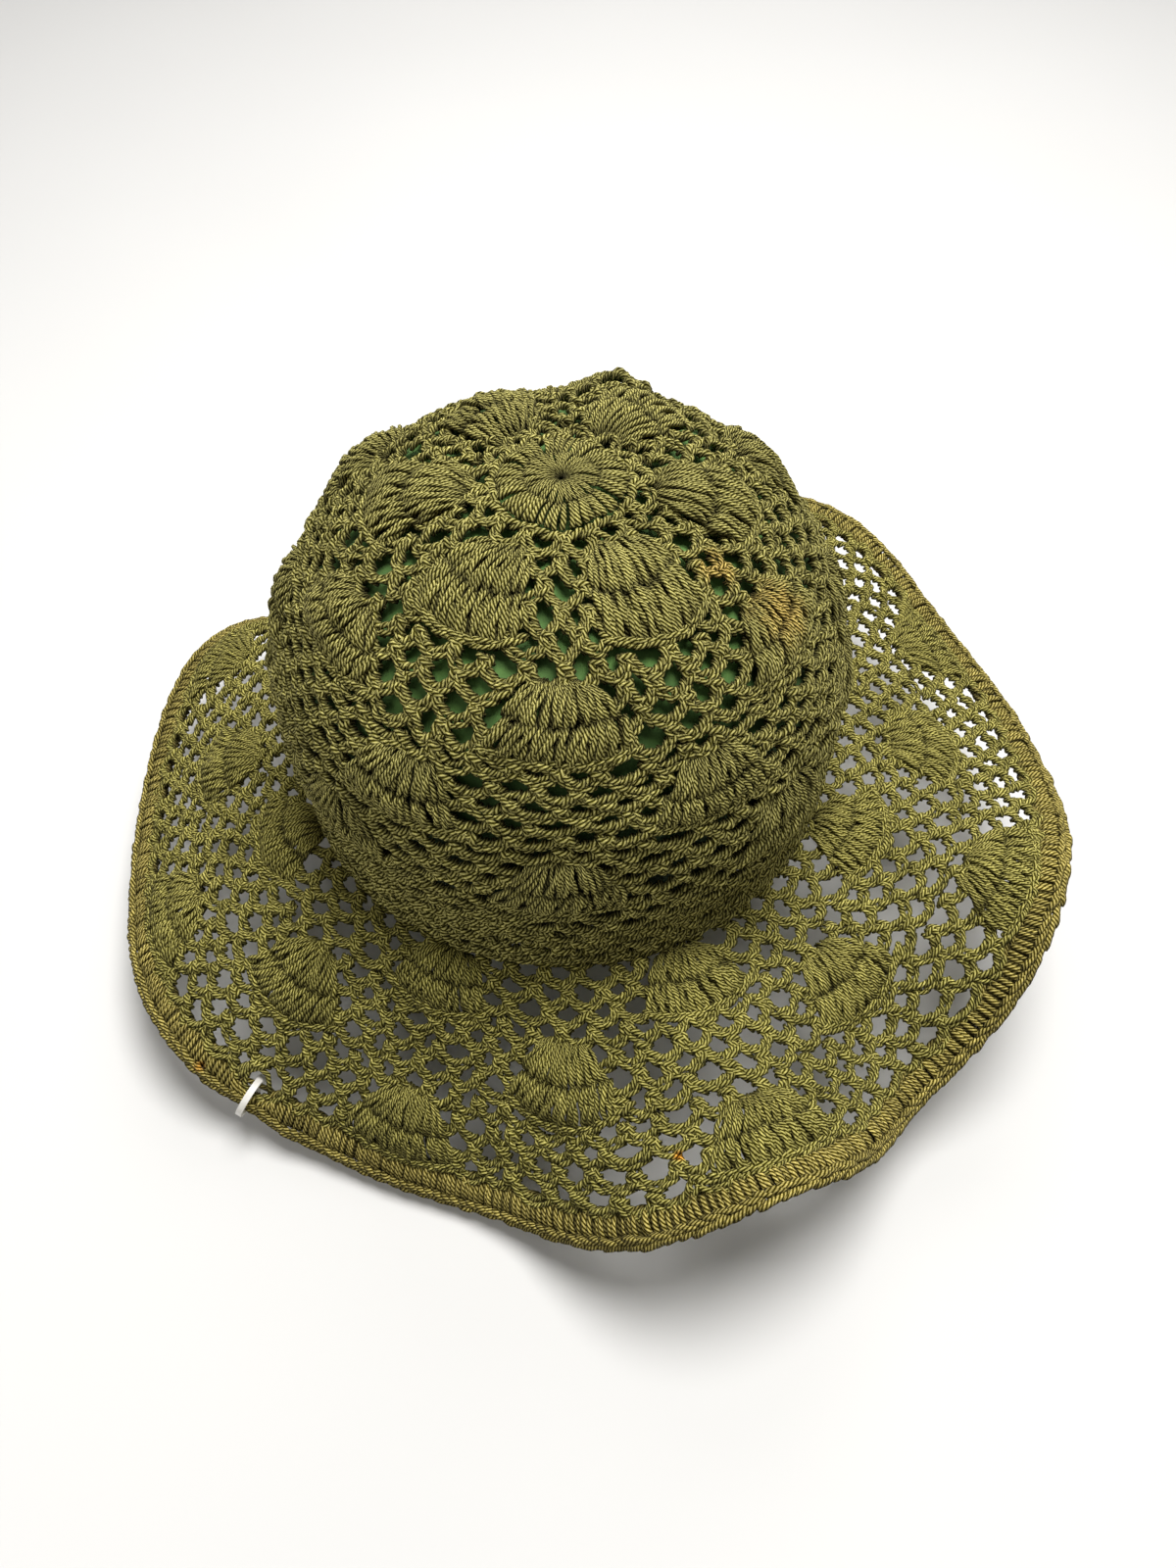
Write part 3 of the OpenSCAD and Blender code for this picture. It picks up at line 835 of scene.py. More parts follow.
@dataclass(frozen=True)
class ClothFinish:
    """Plain woven cotton, creased, with random wear, and painted shade that darkens it towards the
    bottom.
    """

    name: str
    # base is the darker tone with painted shade, used low down; the next tone is the painted
    # lighter tone with wear, used higher up
    base: Colour
    painted_light_and_wear_tone: Colour
    gap_tone: Colour = (0.0, 0.02, 0.0, 1.0)
    gap_share: float = 0.45
    threads_per_m: float = 1900.0
    wear_per_m: float = 70.0
    # Heights in millimetres over which the painted shade gives way to the lighter tone
    painted_shade_z: float = 45.0
    painted_light_z: float = 98.0

    def make(self) -> Material:
        """Builds the material.

        Returns:
            The finished material.
        """
        made, kit, shader = new_material(self.name)
        cut = kit.split(kit.node("ShaderNodeUVMap", uv_map="cut")["UV"])
        pull = 2.0 * math.pi * self.threads_per_m
        warp, weft = (kit.math("SINE", kit.times(cut[axis], pull)) for axis in "XY")
        weave = kit.scaled(kit.times(warp, weft), 0.5, 0.5)
        spot = kit.place()
        # Painted shade: the cloth darkens towards the bottom of the crown
        painted_height_light = kit.span(kit.split(spot)["Z"], self.painted_shade_z * MM, self.painted_light_z * MM)
        worn = kit.scaled(kit.span(kit.noise(spot, self.wear_per_m, 4.0), 0.35, 0.7), 0.5, 0.5)
        plain = kit.blend(kit.times(worn, painted_height_light), self.base, self.painted_light_and_wear_tone)
        dark = kit.blend(self.gap_share, plain, self.gap_tone)
        kit.fill(
            shader, Base_Color=kit.blend(weave, dark, plain), Sheen_Weight=0.1,
            Roughness=kit.scaled(weave, 0.12, 0.74), Normal=kit.bump(weave, 0.6, 0.1 * MM),
        )
        return made


@dataclass(frozen=True)
class SmoothFinish:
    """Metal or satin tape with fine streaks."""

    name: str
    base: Colour
    dull: Colour
    metallic: float
    rough: float
    grain_per_m: float = 1500.0
    stain_per_m: float = 140.0

    def make(self) -> Material:
        """Builds the material.

        Returns:
            The finished material.
        """
        made, kit, shader = new_material(self.name)
        spot = kit.place()
        grain = kit.noise(spot, self.grain_per_m, 3.0)
        stain = kit.span(kit.noise(spot, self.stain_per_m, 3.0), 0.4, 0.7)
        kit.fill(
            shader, Base_Color=kit.blend(stain, self.base, self.dull), Metallic=self.metallic,
            Roughness=kit.scaled(grain, 0.25, self.rough), Normal=kit.bump(grain, 0.3, 0.05 * MM),
        )
        return made


@dataclass(frozen=True)
class FanTier:
    """One tier of fans, each of two rounds of posts."""

    start: float
    end: float
    width_in: float
    width_out: float
    first: float
    count: int
    posts: int
    puff: float = 2.8
    slant: float = 0.12
    pitch: float = 2.65
    radius: float = 0.95
    bow: float = 0.13
    flare: float = 0.58
    edge_flat: float = 0.55
    # Where the outermost posts and the row of stitch heads lie, as shares of the fan
    post_edge: float = 0.95
    head_row: float = 0.965
    # A post's arch, its strands' half turns and reach, and the furrow beside it
    post_arch: Place = (-0.85, 1.7, 0.45)
    wind: float = 1.7
    wind_wide: float = 0.82
    wind_high: float = 0.5
    furrow: float = 1.5
    # A stitch head's arch, its length in heads, half its height, and where first and last start
    head_arch: Place = (0.0, 0.8, 0.7)
    head_length: float = 3.6
    head_half: float = 1.15
    head_crowd: float = 1.15
    head_starts: tuple[float, float] = (-1.08, 0.96)

    @property
    def bearings(self) -> Array:
        """Bearing of each fan's middle."""
        return self.first + np.arange(self.count) * CIRCLE / self.count

    def half_width(self, share: Array) -> Array:
        """Half the fan's width at a share of its length."""
        widening = (self.width_out - self.width_in) * np.maximum(share, 0.0) ** self.flare
        return (self.width_in + widening) / 2.0

    def covers(self, skin: Skin, bearing: Array, along: Array, margin: float) -> Array:
        """Finds places under the fans.

        Args:
            skin: the surface they lie on.
            bearing: degrees.
            along: millimetres.
            margin: how far the fans' outline is drawn in, in millimetres.

        Returns:
            True at each place that a fan hides.
        """
        share = ramp(along - self.start, self.end - self.start)
        off = turn_from(self.first, bearing, CIRCLE / self.count)
        across = np.abs(np.radians(off)) * skin.radius(bearing, along)
        inside = (along > self.start + margin) & (along < self.end - margin)
        return inside & (across < self.half_width(share) - margin)

    def spots(
        self, skin: Skin, side: Array, share: Array, lift: Array, shift: Array | float = 0.0
    ) -> Spots:
        """Places on all fans of the tier.

        Args:
            skin: the surface they lie on.
            side: -1 to 1 across a fan.
            share: 0 to 1 down a fan.
            lift: millimetres off the surface, beside the fan's own puff.
            shift: millimetres sideways.

        Returns:
            Bearing, distance along and lift on the skin.
        """
        middle = self.bearings[:, None, None]
        along = self.start + (self.end - self.start) * share * (1.0 - self.bow * side**2)
        across = side * self.half_width(share) + shift
        bearing = middle + np.degrees(across / skin.radius(middle, along))
        hump = arch(np.clip(share, 0.0, 1.0), 0.0, self.puff, 0.8)
        return bearing, along, lift + hump * (1.0 - self.edge_flat * side**2)

    def fill(self, strands: Strands) -> None:
        """Lays posts of two strands, a strand in each furrow, and the stitch heads.

        Args:
            strands: where the yarn paths go.
        """
        skin = strands.skin
        step = np.linspace(0.0, 1.0, 8)[None, None, :]
        # Where a round starts and ends, its posts, their slant, and how far they narrow inwards
        rounds = (
            (0.0, 0.52, self.posts, 0.0, 0.5),
            (0.50, 0.96, round(self.width_out / self.pitch), self.slant, 0.05),
        )
        for begin, finish, posts, slant, narrow in rounds:
            shape = (self.count, posts, 1)
            side = np.linspace(-self.post_edge, self.post_edge, posts)[None, :, None]
            side = side + slant * (step - 0.5) + strands.jitter(0.045, *shape)
            share = begin + (finish - begin) * step + strands.jitter(0.03, *shape)
            bow = arch(step, *self.post_arch) + strands.jitter(0.4, *shape)
            start = strands.rng.uniform(0.0, 2.0 * np.pi, shape)
            width = self.radius * (1.0 - narrow * (1.0 - step[0]) ** 1.5)
            for leg in LEGS:
                wind = start + leg + self.wind * np.pi * step
                lift = bow + self.wind_high * np.sin(wind)
                shift = self.wind_wide * self.radius * np.cos(wind)
                strands.lay(self.spots(skin, side, share, lift, shift), lift, width, 0.2)
            bed = bow[:, 1:] - self.furrow * self.radius
            beside = side[:, 1:] - self.post_edge / (posts - 1)
            furrow = self.spots(skin, beside, share[:, 1:], bed)
            # The furrow strand's rise is set below its height, which darkens its painted shade
            strands.lay(furrow, bed - 0.4, 1.1 * width, 0.2)
        self._heads(strands)

    def _heads(self, strands: Strands) -> None:
        """Lays the slanted stitch heads along the outer end.

        Args:
            strands: where the yarn paths go.
        """
        loops = round(self.head_crowd * self.width_out / self.pitch)
        shape = (self.count, loops, 1)
        t = np.linspace(0.0, 1.0, 6)[None, None, :]
        side = np.linspace(*self.head_starts, loops)[None, :, None] + strands.jitter(0.03, *shape)
        side = side + self.head_length / loops * t
        for leg in BOTH_SIDES:
            off = leg * (self.head_half - t) * self.radius + strands.jitter(0.25, *shape)
            share = self.head_row + off / (self.end - self.start)
            lift = arch(t, *self.head_arch) + strands.jitter(0.2, *shape)
            head = self.spots(strands.skin, side, share, lift)
            # The heads' rise is set a little below their lift, which darkens their painted shade
            strands.lay(head, lift - 0.2, self.radius, 0.3)


@dataclass(frozen=True)
class NetZone:
    """Rounds of chain arcs, each caught by a knot of the next round."""

    start: float
    end: float
    pitch: float
    cells: int
    dip: float = 0.64
    loops: int = 5
    knot_strands: int = 3
    reach: float = 5.2
    radius: float = 0.95
    taper: float = 0.3
    # How far arcs and knots may go in under a fan, in millimetres
    arc_margin: float = 2.2
    knot_margin: float = 0.8
    # A chain loop's length in loops, its rise and its lean
    loop_length: float = 1.55
    loop_rise: float = 1.1
    loop_lean: float = 0.35
    # Arches of a knot's strands and of the strand across it, and how wide they lie
    knot_arch: Place = (-0.6, 1.5, 0.8)
    knot_wide: float = 1.7
    cross_arch: Place = (-0.8, 2.3, 0.7)
    cross_wide: float = 1.6

    def fill(self, strands: Strands) -> None:
        """Lays arcs and knots where no fan is.

        Args:
            strands: where the yarn paths go.
        """
        rounds = max(1, round((self.end - self.start) / self.pitch))
        step = (self.end - self.start) / rounds
        cell = CIRCLE / self.cells
        for index in range(rounds):
            bearing = (np.arange(self.cells) + 0.5 * (index % 2)) * cell
            bearing = bearing + strands.jitter(0.15, self.cells) * cell
            row = self.start + step * (index + strands.jitter(0.14, self.cells))
            self._arcs(strands, bearing, row, step)
            self._knots(strands, bearing, row)

    def _arcs(self, strands: Strands, bearing: Array, row: Array, step: float) -> None:
        """Lays the chains that hang from knot to knot, loop by loop.

        Args:
            strands: where the yarn paths go.
            bearing: degrees of the round's knots.
            row: millimetres along of the round's knots.
            step: millimetres from round to round.
        """
        wide = np.append(bearing[1:], bearing[0] + CIRCLE) - bearing
        drop = np.append(row[1:], row[0]) - row
        middle, low = bearing + wide / 2.0, row + step * self.dip * 0.8
        shown = ~strands.hidden(middle, low, self.arc_margin)
        bearing, row, wide, drop = (part[shown, None, None] for part in (bearing, row, wide, drop))
        shape = (len(row), self.loops, 1)
        sag = step * self.dip * strands.rng.uniform(0.8, 1.2, (len(row), 1, 1))
        u = np.linspace(0.0, 1.0, 5)[None, None, :]
        t = np.linspace(-0.05, 1.0 - 1.1 / self.loops, self.loops)[None, :, None]
        t = t + self.loop_length / self.loops * u
        reach = np.radians(wide) * strands.skin.radius(bearing, row)
        fall = drop + sag * np.pi * np.cos(np.pi * t)
        slope = np.hypot(reach, fall)
        tilt = strands.jitter(self.loop_lean, len(row), 1, 1)
        for leg in BOTH_SIDES:
            off = leg * self.radius * (0.2 + 1.2 * u**0.8) + strands.jitter(0.2, *shape)
            lift = leg * tilt - 0.35 + self.loop_rise * np.sin(np.pi * (0.08 + 0.78 * u))
            lift = lift - self.loop_rise * u**3 + strands.jitter(0.2, *shape)
            along = row + drop * t + 0.06 * step + sag * np.sin(np.pi * t) + off * reach / slope
            around = bearing + wide * (t - off * fall / (slope * reach))
            strands.lay((around, along, lift), lift, self.radius, self.taper)

    def _knots(self, strands: Strands, bearing: Array, row: Array) -> None:
        """Lays the bundles that catch the round above, each with a strand across it.

        Args:
            strands: where the yarn paths go.
            bearing: degrees of each knot.
            row: millimetres along of each knot.
        """
        skin, rng = strands.skin, strands.rng
        shown = ~strands.hidden(bearing, row, self.knot_margin)
        bearing, row = bearing[shown, None], row[shown, None]
        shape = (len(row), 1)
        t = np.linspace(0.0, 1.0, 6)[None, :]
        lean = rng.uniform(-1.4, 2.2, shape)
        along = row + self.reach * (t - 0.52)
        half = (self.knot_strands - 1) / 2.0
        for strand in range(self.knot_strands):
            place = strand - half
            across = place * self.knot_wide * self.radius * arch(t, 0.7, 0.3, 1.0)
            across = across + lean * (t - 0.5)
            around = bearing + np.degrees(across / skin.radius(bearing, along))
            lift = arch(t, *self.knot_arch) - 0.12 * place**2 + rng.uniform(-0.4, 0.3, shape)
            strands.lay((around, along, lift), lift, self.radius, self.taper)
        across = (self.cross_wide * half + 0.9) * self.radius * (2.0 * t - 1.0)
        along = row + self.reach * (-0.32 + 0.24 * t) + strands.jitter(0.5, *shape)
        around = bearing + np.degrees(across / skin.radius(bearing, along))
        lift = arch(t, *self.cross_arch)
        strands.lay((around, along, lift), lift, self.radius, self.taper)


@dataclass
class Crown:
    """Medallion, fans, nets and head band."""

    skin: CrownSkin
    medallion_r: float = 19.5
    medallion_posts: int = 26
    medallion_puff: float = 2.4
    medallion_arch: Place = (0.0, 0.55, 0.45)
    medallion_bare: float = 1.6
    medallion_swirl: float = 12.0
    # Each tier's start, end, inner and outer width, first bearing, fans, and posts in a fan
    first: FanTier = FanTier(27.0, 62.0, 9.0, 32.0, 30.0, 6, 11, puff=4.0)
    second: FanTier = FanTier(66.0, 90.5, 11.0, 42.0, 0.0, 6, 12, puff=3.5, slant=-0.12)
    third: FanTier = FanTier(94.0, 118.0, 12.0, 40.0, 30.0, 6, 12)
    fourth: FanTier = FanTier(122.0, 148.0, 12.0, 41.0, 0.0, 8, 12, slant=-0.12)
    # First seeds of the random draws
    medallion_seed: int = 11
    fan_seed: int = 20
    net_seed: int = 40

    def build(self, sweep: YarnSweep, yarn: Material) -> None:
        """Makes every crochet piece of the crown.

        Args:
            sweep: the yarn tree.
            yarn: the crown's yarn.
        """
        sweep.work(self._medallion(), "crown_medallion", yarn)
        names = ("first", "second", "third", "fourth")
        tiers = (self.first, self.second, self.third, self.fourth)
        for seed, (name, tier) in enumerate(zip(names, tiers), self.fan_seed):
            strands = Strands(seed, self.skin)
            tier.fill(strands)
            sweep.work(strands, f"crown_fans_{name}", yarn)
        for seed, (node, nets) in enumerate(self._nets().items(), self.net_seed):
            strands = Strands(seed, self.skin, tiers)
            for net in nets:
                net.fill(strands)
            sweep.work(strands, node, yarn)

    def _nets(self) -> dict[str, tuple[NetZone, ...]]:
        """Sets out the nets from the tip down to the foot of the band.

        Returns:
            The nets of each piece, by CAD node.
        """
        top, foot = self.skin.band_top, self.skin.foot
        # Start, end, pitch of the rounds, and cells round the hat
        band = NetZone(
            top - 2.5, foot - 0.5, 4.4, 52,
            dip=0.4, loops=4, knot_strands=4, reach=5.0, radius=1.2,
        )
        return {
            "crown_trellis_top": (
                NetZone(22.5, 31.0, 8.5, 16, loops=4),
                NetZone(31.0, 47.0, 8.0, 24),
                NetZone(47.0, 64.0, 8.5, 33),
            ),
            "crown_trellis_upper": (
                NetZone(64.0, 92.0, 7.0, 38, dip=0.6, reach=5.0, radius=1.0),
            ),
            "crown_trellis_middle": (
                NetZone(92.0, 120.0, 5.6, 43, dip=0.44, reach=4.8, radius=1.05),
            ),
            "crown_trellis_lower": (
                NetZone(120.0, top, 6.4, 43, dip=0.46, loops=4, radius=1.15),
            ),
            "head_band": (band,),
        }

    def _medallion(self) -> Strands:
        """Lays the two rounds of posts at the tip and the chain round them.

        Returns:
            The yarn paths.
        """
        strands = Strands(self.medallion_seed, self.skin)
        posts = self.medallion_posts
        step = np.linspace(0.0, 1.0, 9)[None, :]
        middle = np.arange(posts)[:, None] * CIRCLE / posts + strands.jitter(2.0, posts, 1)
        # Where a round starts and ends, half its posts' width there, and how bare its start is
        rounds = ((0.05, 0.56, 0.30, 0.52, 1.0), (0.54, 0.97, 0.60, 1.02, 0.4))
        for begin, finish, open_in, open_out, bare in rounds:
            along = self.medallion_r * (begin + (finish - begin) * step)
            fall = (along / (1.04 * self.medallion_r)) ** 4
            dome = self.medallion_puff * np.sqrt(np.clip(1.0 - fall, 0.0, 1.0))
            notch = arch(step, *self.medallion_arch)
            notch = notch - self.medallion_bare * bare * (1.0 - step) ** 3
            lift = dome + notch + strands.jitter(0.2, posts, 1)
            spread = open_in + (open_out - open_in) * step
            swirl = middle + self.medallion_swirl * bare * (1.0 - step) ** 2
            for side in BOTH_SIDES:
                bearing = swirl + np.degrees(side * spread / along)
                # The notch alone, without the dome, sets the posts' painted shade
                strands.lay((bearing, along, lift), notch, spread + 0.12, 0.15)
        outside = self.medallion_r + 1.2
        strands.lay_ring(outside, lift=0.2, twists=20, points=181, radius=1.05)
        return strands


@dataclass
class Brim:
    """Nets, fans, wrapped edging and braided edge of the brim."""

    skin: BrimSkin
    net_end: float = 84.0
    net_cells: tuple[int, int, int] = (58, 73, 88)
    # Each tier's start, end, inner and outer width, first bearing, fans, and posts in a fan
    inner: FanTier = FanTier(4.5, 31.0, 9.0, 35.0, 22.5, 8, 14, puff=3.0, pitch=2.35, bow=0.2)
    middle: FanTier = FanTier(
        29.5, 58.0, 9.0, 37.0, 0.0, 8, 15, puff=3.2, slant=-0.12, pitch=2.35, bow=0.22
    )
    outer: FanTier = FanTier(57.5, 81.5, 10.0, 42.0, 22.5, 8, 16, pitch=2.35, bow=0.12)
    wrap_count: int = 560
    wrap_radius: float = 0.98
    # One wrap's way over the wire and back under it: distance from the band, and lift
    wrap_along: tuple[float, ...] = (81.4, 80.8, 81.4, 83.0, 85.2, 87.2, 88.0, 87.2, 84.8, 82.0)
    wrap_lift: tuple[float, ...] = (-2.0, -0.7, 0.4, 1.1, 1.2, 0.6, -0.9, -2.6, -3.4, -2.9)
    cord_along: float = 80.2
    braid_count: int = 310
    braid_along: float = 88.6
    braid_radius: float = 1.15
    braid_length: float = 1.85
    braid_half: float = 1.95
    braid_slant: float = 1.7
    braid_rise: float = 0.7
    # First seeds of the random draws
    fan_seed: int = 60
    net_seed: int = 70
    wrap_seed: int = 81
    braid_seed: int = 82

    def build(self, sweep: YarnSweep, yarn: Material, edge_yarn: Material) -> None:
        """Makes every crochet piece of the brim.

        Args:
            sweep: the yarn tree.
            yarn: the brim's yarn.
            edge_yarn: the yarn of the edging and the braid.
        """
        names = ("inner", "middle", "outer")
        tiers = (self.inner, self.middle, self.outer)
        third = self.net_end / 3.0
        for index, (name, tier, cells) in enumerate(zip(names, tiers, self.net_cells)):
            strands = Strands(self.fan_seed + index, self.skin)
            tier.fill(strands)
            sweep.work(strands, f"brim_fans_{name}", yarn)
            strands = Strands(self.net_seed + index, self.skin, tiers)
            net = NetZone(
                0.5 + third * index, third * (index + 1), 7.0, cells,
                dip=0.5, loops=4, reach=5.8, radius=1.0,
            )
            net.fill(strands)
            sweep.work(strands, f"brim_trellis_{name}", yarn)
        sweep.work(self._wraps(), "brim_edging", edge_yarn)
        sweep.work(self._braid(), "edge_chain", edge_yarn)

    def _wraps(self) -> Strands:
        """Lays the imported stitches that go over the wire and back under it.

        Returns:
            The yarn paths.
        """
        strands = Strands(self.wrap_seed, self.skin)
        rng, count, radius = strands.rng, self.wrap_count, self.wrap_radius
        turn = (np.arange(count)[:, None] + strands.jitter(0.15, count, 1)) * CIRCLE / count
        along = np.array(self.wrap_along)[None, :] + rng.uniform(-0.5, 0.4, (count, 1))
        lift = np.array(self.wrap_lift)[None, :] + strands.jitter(0.35, count, 1)
        lean = np.linspace(-1.0, 1.0, len(self.wrap_along))[None, :]
        turn = turn + rng.uniform(0.1, 0.4, (count, 1)) * lean
        # Rises kept low here darken the wraps' painted shade; the strands between the wraps get the
        # darkest painted shade
        strands.lay((turn, along, lift), np.minimum(lift - 0.4, 0.6), radius, 0.1)
        between = turn + CIRCLE / 2 / count
        strands.lay((between, along - 0.2, lift - 0.8), -0.9, radius, 0.1)
        strands.lay_ring(self.cord_along, lift=-0.9, twists=90, points=721, radius=radius)
        return strands

    def _braid(self) -> Strands:
        """Lays the two slanted rows of loops along the outer edge.

        Returns:
            The yarn paths.
        """
        strands = Strands(self.braid_seed, self.skin)
        count = self.braid_count
        gap = CIRCLE / count
        turn = np.arange(count)[:, None] * gap + strands.jitter(0.08, count, 1) * gap
        t = np.linspace(0.0, 1.0, 7)[None, :]
        around = turn + gap * (self.braid_length * t - 0.4)
        high = self.braid_rise * np.sin(np.pi * (0.1 + 0.75 * t))
        for side in reversed(BOTH_SIDES):
            across = side * (self.braid_half - self.braid_slant * t)
            across = across + strands.jitter(0.25, count, 1)
            along = self.braid_along + 0.85 * across + 0.5 * high
            lift = 0.3 - 0.5 * across + 0.85 * high
            # The rise is stretched from the loop's height, for strong painted shade between the
            # braid's loops
            strands.lay((around, along, lift), 2.6 * high - 1.3, self.braid_radius, 0.3)
        return strands


@dataclass
class Lining:
    """Two creased cotton panels inside the crown."""

    skin: CrownSkin
    inset: float = 5.2
    tip_hole: float = 0.8
    seam: float = 78.0
    overlap: float = 1.0
    foot_gap: float = 0.6
    crease: float = 1.4
    turns: int = 240
    rows: int = 60

    def build(self, cotton: Material) -> None:
        """Makes both panels.

        Args:
            cotton: the lining's material.
        """
        foot = self.skin.band_top - self.foot_gap
        panels = (
            ("lining_tip", self.tip_hole, self.seam),
            ("lining_side", self.seam - self.overlap, foot),
        )
        for name, begin, finish in panels:
            is_tip = name == "lining_tip"
            # The finished mesh's own area, not the cut's, so the share measured of it is no test
            panel, area = self._panel(name + "_cotton", begin, finish, is_tip)
            panel.data.materials.append(cotton)
            finish_piece(panel, Body.HAT, Slot.COTTON, name)
            wide = 2.0 * math.pi * self.skin.radius(0.0, np.array(finish)) * MM

    def _panel(
        self, name: str, begin: float, finish: float, closed: bool
    ) -> tuple[Object, float]:
        """Makes one panel.

        Args:
            name: the piece's name.
            begin: where it starts from the tip, in millimetres.
            finish: where it ends.
            closed: whether its start is closed at the tip.

        Returns:
            The object and its finished area in square metres.
        """
        turn = np.linspace(0.0, CIRCLE, self.turns, endpoint=False)[None, :]
        along = np.linspace(begin, finish, self.rows)[:, None]
        hold = np.sin(np.pi * (along - begin) / (finish - begin)) ** 0.4
        crease = drift(turn * 2.0, along * 2.2, 1.0, 5.3) + drift(turn * 5.0, along * 1.1, 0.7, 1.1)
        lift = self.skin.sink - self.inset + hold * np.clip(crease, -self.crease, self.crease)
        spots = self.skin.point(turn, along, lift)
        cut = np.stack(np.broadcast_arrays(np.radians(turn) * finish, along), axis=-1) * MM
        ids = np.arange(self.rows * self.turns).reshape(self.rows, self.turns)
        onward = np.roll(ids, -1, axis=1)
        faces = np.stack([ids[:-1], ids[1:], onward[1:], onward[:-1]], axis=-1)
        corners = faces.reshape(-1, 4).tolist()
        verts = spots.reshape(-1, 3).tolist()
        if closed:
            tip = len(verts)
            verts.append([0.0, 0.0, float(spots[0, :, 2].mean())])
            corners += [[int(ids[0, i]), int(onward[0, i]), tip] for i in range(self.turns)]
        mesh = bpy.data.meshes.new(name)
        mesh.from_pydata(verts, [], corners)
        layer = mesh.uv_layers.new(name="cut")
        flat_uv = cut.reshape(-1, 2)
        for loop in mesh.loops:
            layer.data[loop.index].uv = flat_uv[min(loop.vertex_index, len(flat_uv) - 1)]
        mesh.polygons.foreach_set("use_smooth", [True] * len(mesh.polygons))
        mesh.update()
        return add_object(name, mesh), float(sum(face.area for face in mesh.polygons))


@dataclass(frozen=True)
class Lamp:
    """One soft round lamp, in metres and watts."""

    name: str
    place: Place
    target: Place
    size: float
    watts: float

    def hang(self) -> None:
        """Puts the lamp in its place and turns it to its target."""
        light = bpy.data.lights.new(self.name, "AREA")
        light.shape = "DISK"
        light.size = self.size
        light.energy = self.watts
        lamp = add_object(self.name, light)
        lamp.location = self.place
        way = Vector(self.target) - Vector(self.place)
        lamp.rotation_euler = way.to_track_quat("-Z", "Y").to_euler()


@dataclass
class Studio:
    """Floor, lights and the camera at the photograph's angle."""

    eye: Place = (0.00785, -0.2710, 0.3420)
    pitch: float = 53.75
    focal_px: float = 1202.0
    frame_px: float = 1600.0
    sensor_mm: float = 36.0
    nearest: float = 0.01
    floor_half: float = 25.0
    floor_tones: tuple[Colour, Colour] = ((0.74, 0.73, 0.71, 1.0), (0.79, 0.78, 0.76, 1.0))
    room_tone: Colour = (1.0, 0.99, 0.97, 1.0)
    room_light: float = 0.2
    lamps: tuple[Lamp, ...] = (
        Lamp("key", (0.2, 0.1, 1.25), (0.0, 0.0, 0.02), 0.7, 20.0),
        Lamp("fill", (-0.9, -0.5, 0.8), (0.0, 0.0, 0.0), 1.0, 2.6),
        Lamp("back", (0.1, 1.0, 0.9), (0.0, 0.0, 0.05), 1.0, 5.0),
    )

    def build(self, floor_z: float) -> None:
        """Sets up everything that isn't the hat.

        Args:
            floor_z: height of the floor in metres.
        """
        scene = bpy.context.scene
        scene.view_settings.view_transform = "Standard"
        lens = bpy.data.cameras.new("camera")
        lens.sensor_fit = "VERTICAL"
        lens.sensor_height = self.sensor_mm
        lens.lens = self.focal_px / self.frame_px * self.sensor_mm
        lens.clip_start = self.nearest
        camera = add_object("camera", lens)
        camera.location = self.eye
        camera.rotation_euler = (math.radians(90.0 - self.pitch), 0.0, 0.0)
        scene.camera = camera
        self._floor(floor_z)
        for lamp in self.lamps:
            lamp.hang()
        self._world()

    def _floor(self, floor_z: float) -> None:
        """Lays the pale floor.

        Args:
            floor_z: height of the floor in metres.
        """
        mesh = bpy.data.meshes.new("floor")
        half = self.floor_half
        corners = [(-half, -half), (half, -half), (half, half), (-half, half)]
        mesh.from_pydata([(x, y, floor_z) for x, y in corners], [], [(0, 1, 2, 3)])
        floor = add_object("floor", mesh)
        paint, kit, shader = new_material("pale_floor")
        cloud = kit.noise(kit.place(), 3.0, 2.0)
        kit.fill(shader, Base_Color=kit.blend(cloud, *self.floor_tones), Roughness=0.8)
        mesh.materials.append(paint)
        floor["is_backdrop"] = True

    def _world(self) -> None:
        """Fills the room with even pale light."""
        world = bpy.data.worlds.new("room")
        bpy.context.scene.world = world
        world.use_nodes = True
        sky = world.node_tree.nodes["Background"]
        NodeKit(world.node_tree).fill(sky, Color=self.room_tone, Strength=self.room_light)


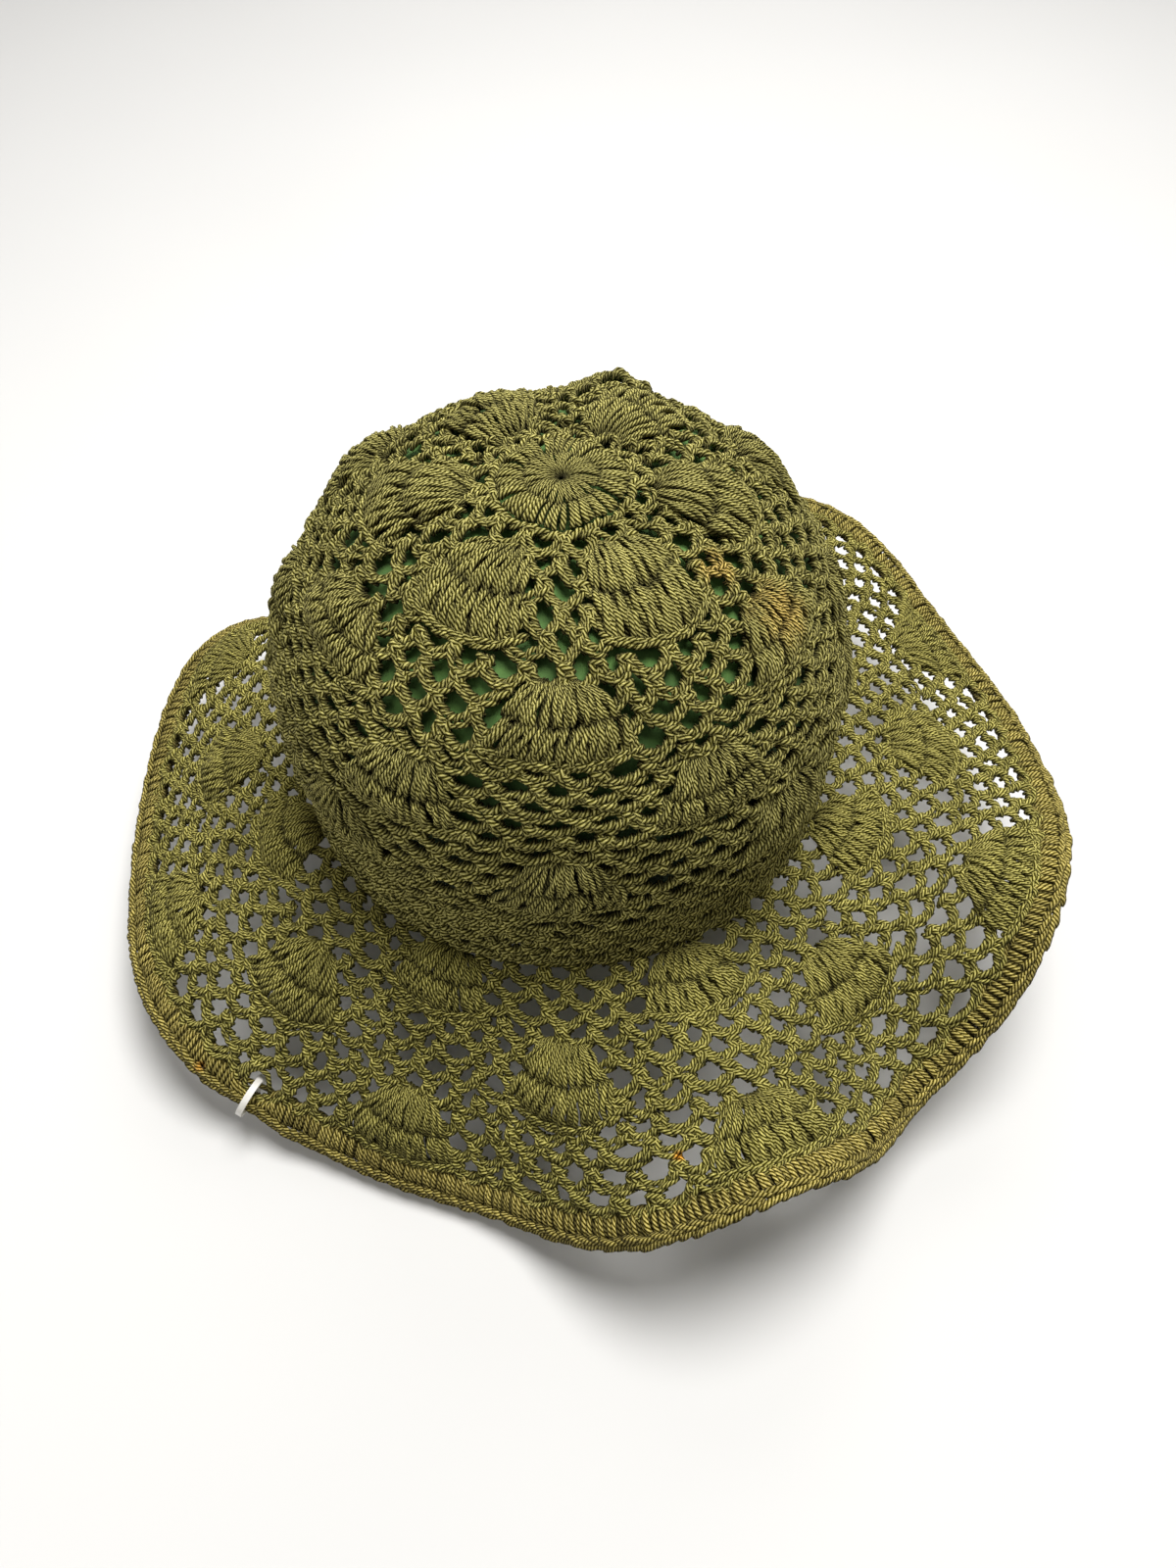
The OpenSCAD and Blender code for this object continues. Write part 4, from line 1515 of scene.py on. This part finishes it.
def dress_cad(node: str, material: Material, body: Body, slot: Slot) -> None:
    """Gives a CAD node that stays in view its finish.

    Args:
        node: the node's name.
        material: its finish.
        body: the body that carries it.
        slot: the record's material slot.
    """
    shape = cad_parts[node]
    shape.data.materials.clear()
    shape.data.materials.append(material)
    LOG.info("%s: CAD shape on %s, %s as %s", node, body.value, slot.value, material.name)


def main() -> None:
    """Builds the hat piece by piece and sets the studio round it."""
    logging.basicConfig(level=logging.INFO)
    effects = SharedEffects()
    sweep = YarnSweep()
    # Each yarn's tones: painted shade in the ply furrows, the yarn's own tone, and a painted
    # highlight on the ply ridges; the crown's down-facing undersides are not kept out of the
    # painted shade
    crown_yarn = YarnFinish(
        "crown_yarn", tone(30, 26, 1), tone(96, 90, 18), tone(203, 194, 120),
        patches=((61.7, -32.7, 98.5, 13.0), (43.9, -27.3, 111.8, 8.0)), open_below=0.0,
    ).make(effects)
    brim_yarn = YarnFinish(
        "brim_yarn", tone(30, 26, 1), tone(100, 94, 18), tone(205, 195, 114),
        patches=((34.8, -153.8, -4.7, 2.4),), patch_tone=(2.2, 1.0, 0.3, 1.0), patch_share=0.95,
    ).make(effects)
    edge_yarn = YarnFinish(
        "edge_yarn", tone(38, 32, 2), tone(120, 106, 26), tone(219, 201, 120),
        patches=((-125.1, -110.5, -40.3, 2.6),), patch_tone=(1.7, 0.95, 0.4, 1.0), patch_share=0.8,
    ).make(effects)
    # The lining's darker tone holds painted shade low in the crown; its lighter tone holds painted
    # light and wear higher up
    cotton = ClothFinish("lining_cotton", tone(34, 58, 20), tone(112, 158, 74)).make()
    steel = SmoothFinish("wire_steel", tone(150, 150, 152), tone(120, 118, 114), 1.0, 0.25)
    brass = SmoothFinish("sleeve_brass", tone(176, 150, 96), tone(128, 106, 66), 1.0, 0.3)
    tape = SmoothFinish("loop_tape", tone(236, 233, 226), tone(214, 210, 200), 0.0, 0.3, 2600.0)
    crown_skin = CrownSkin()
    Crown(crown_skin).build(sweep, crown_yarn)
    Brim(BrimSkin()).build(sweep, brim_yarn, edge_yarn)
    Lining(crown_skin).build(cotton)
    dress_cad("brim_wire", steel.make(), Body.HAT, Slot.WIRE)
    dress_cad("wire_sleeve", brass.make(), Body.HAT, Slot.SLEEVE)
    dress_cad("tag_loop", tape.make(), Body.LOOP, Slot.TAPE)
    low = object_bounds()[0][2]
    Studio().build(low)


if __name__ == "__main__":
    main()
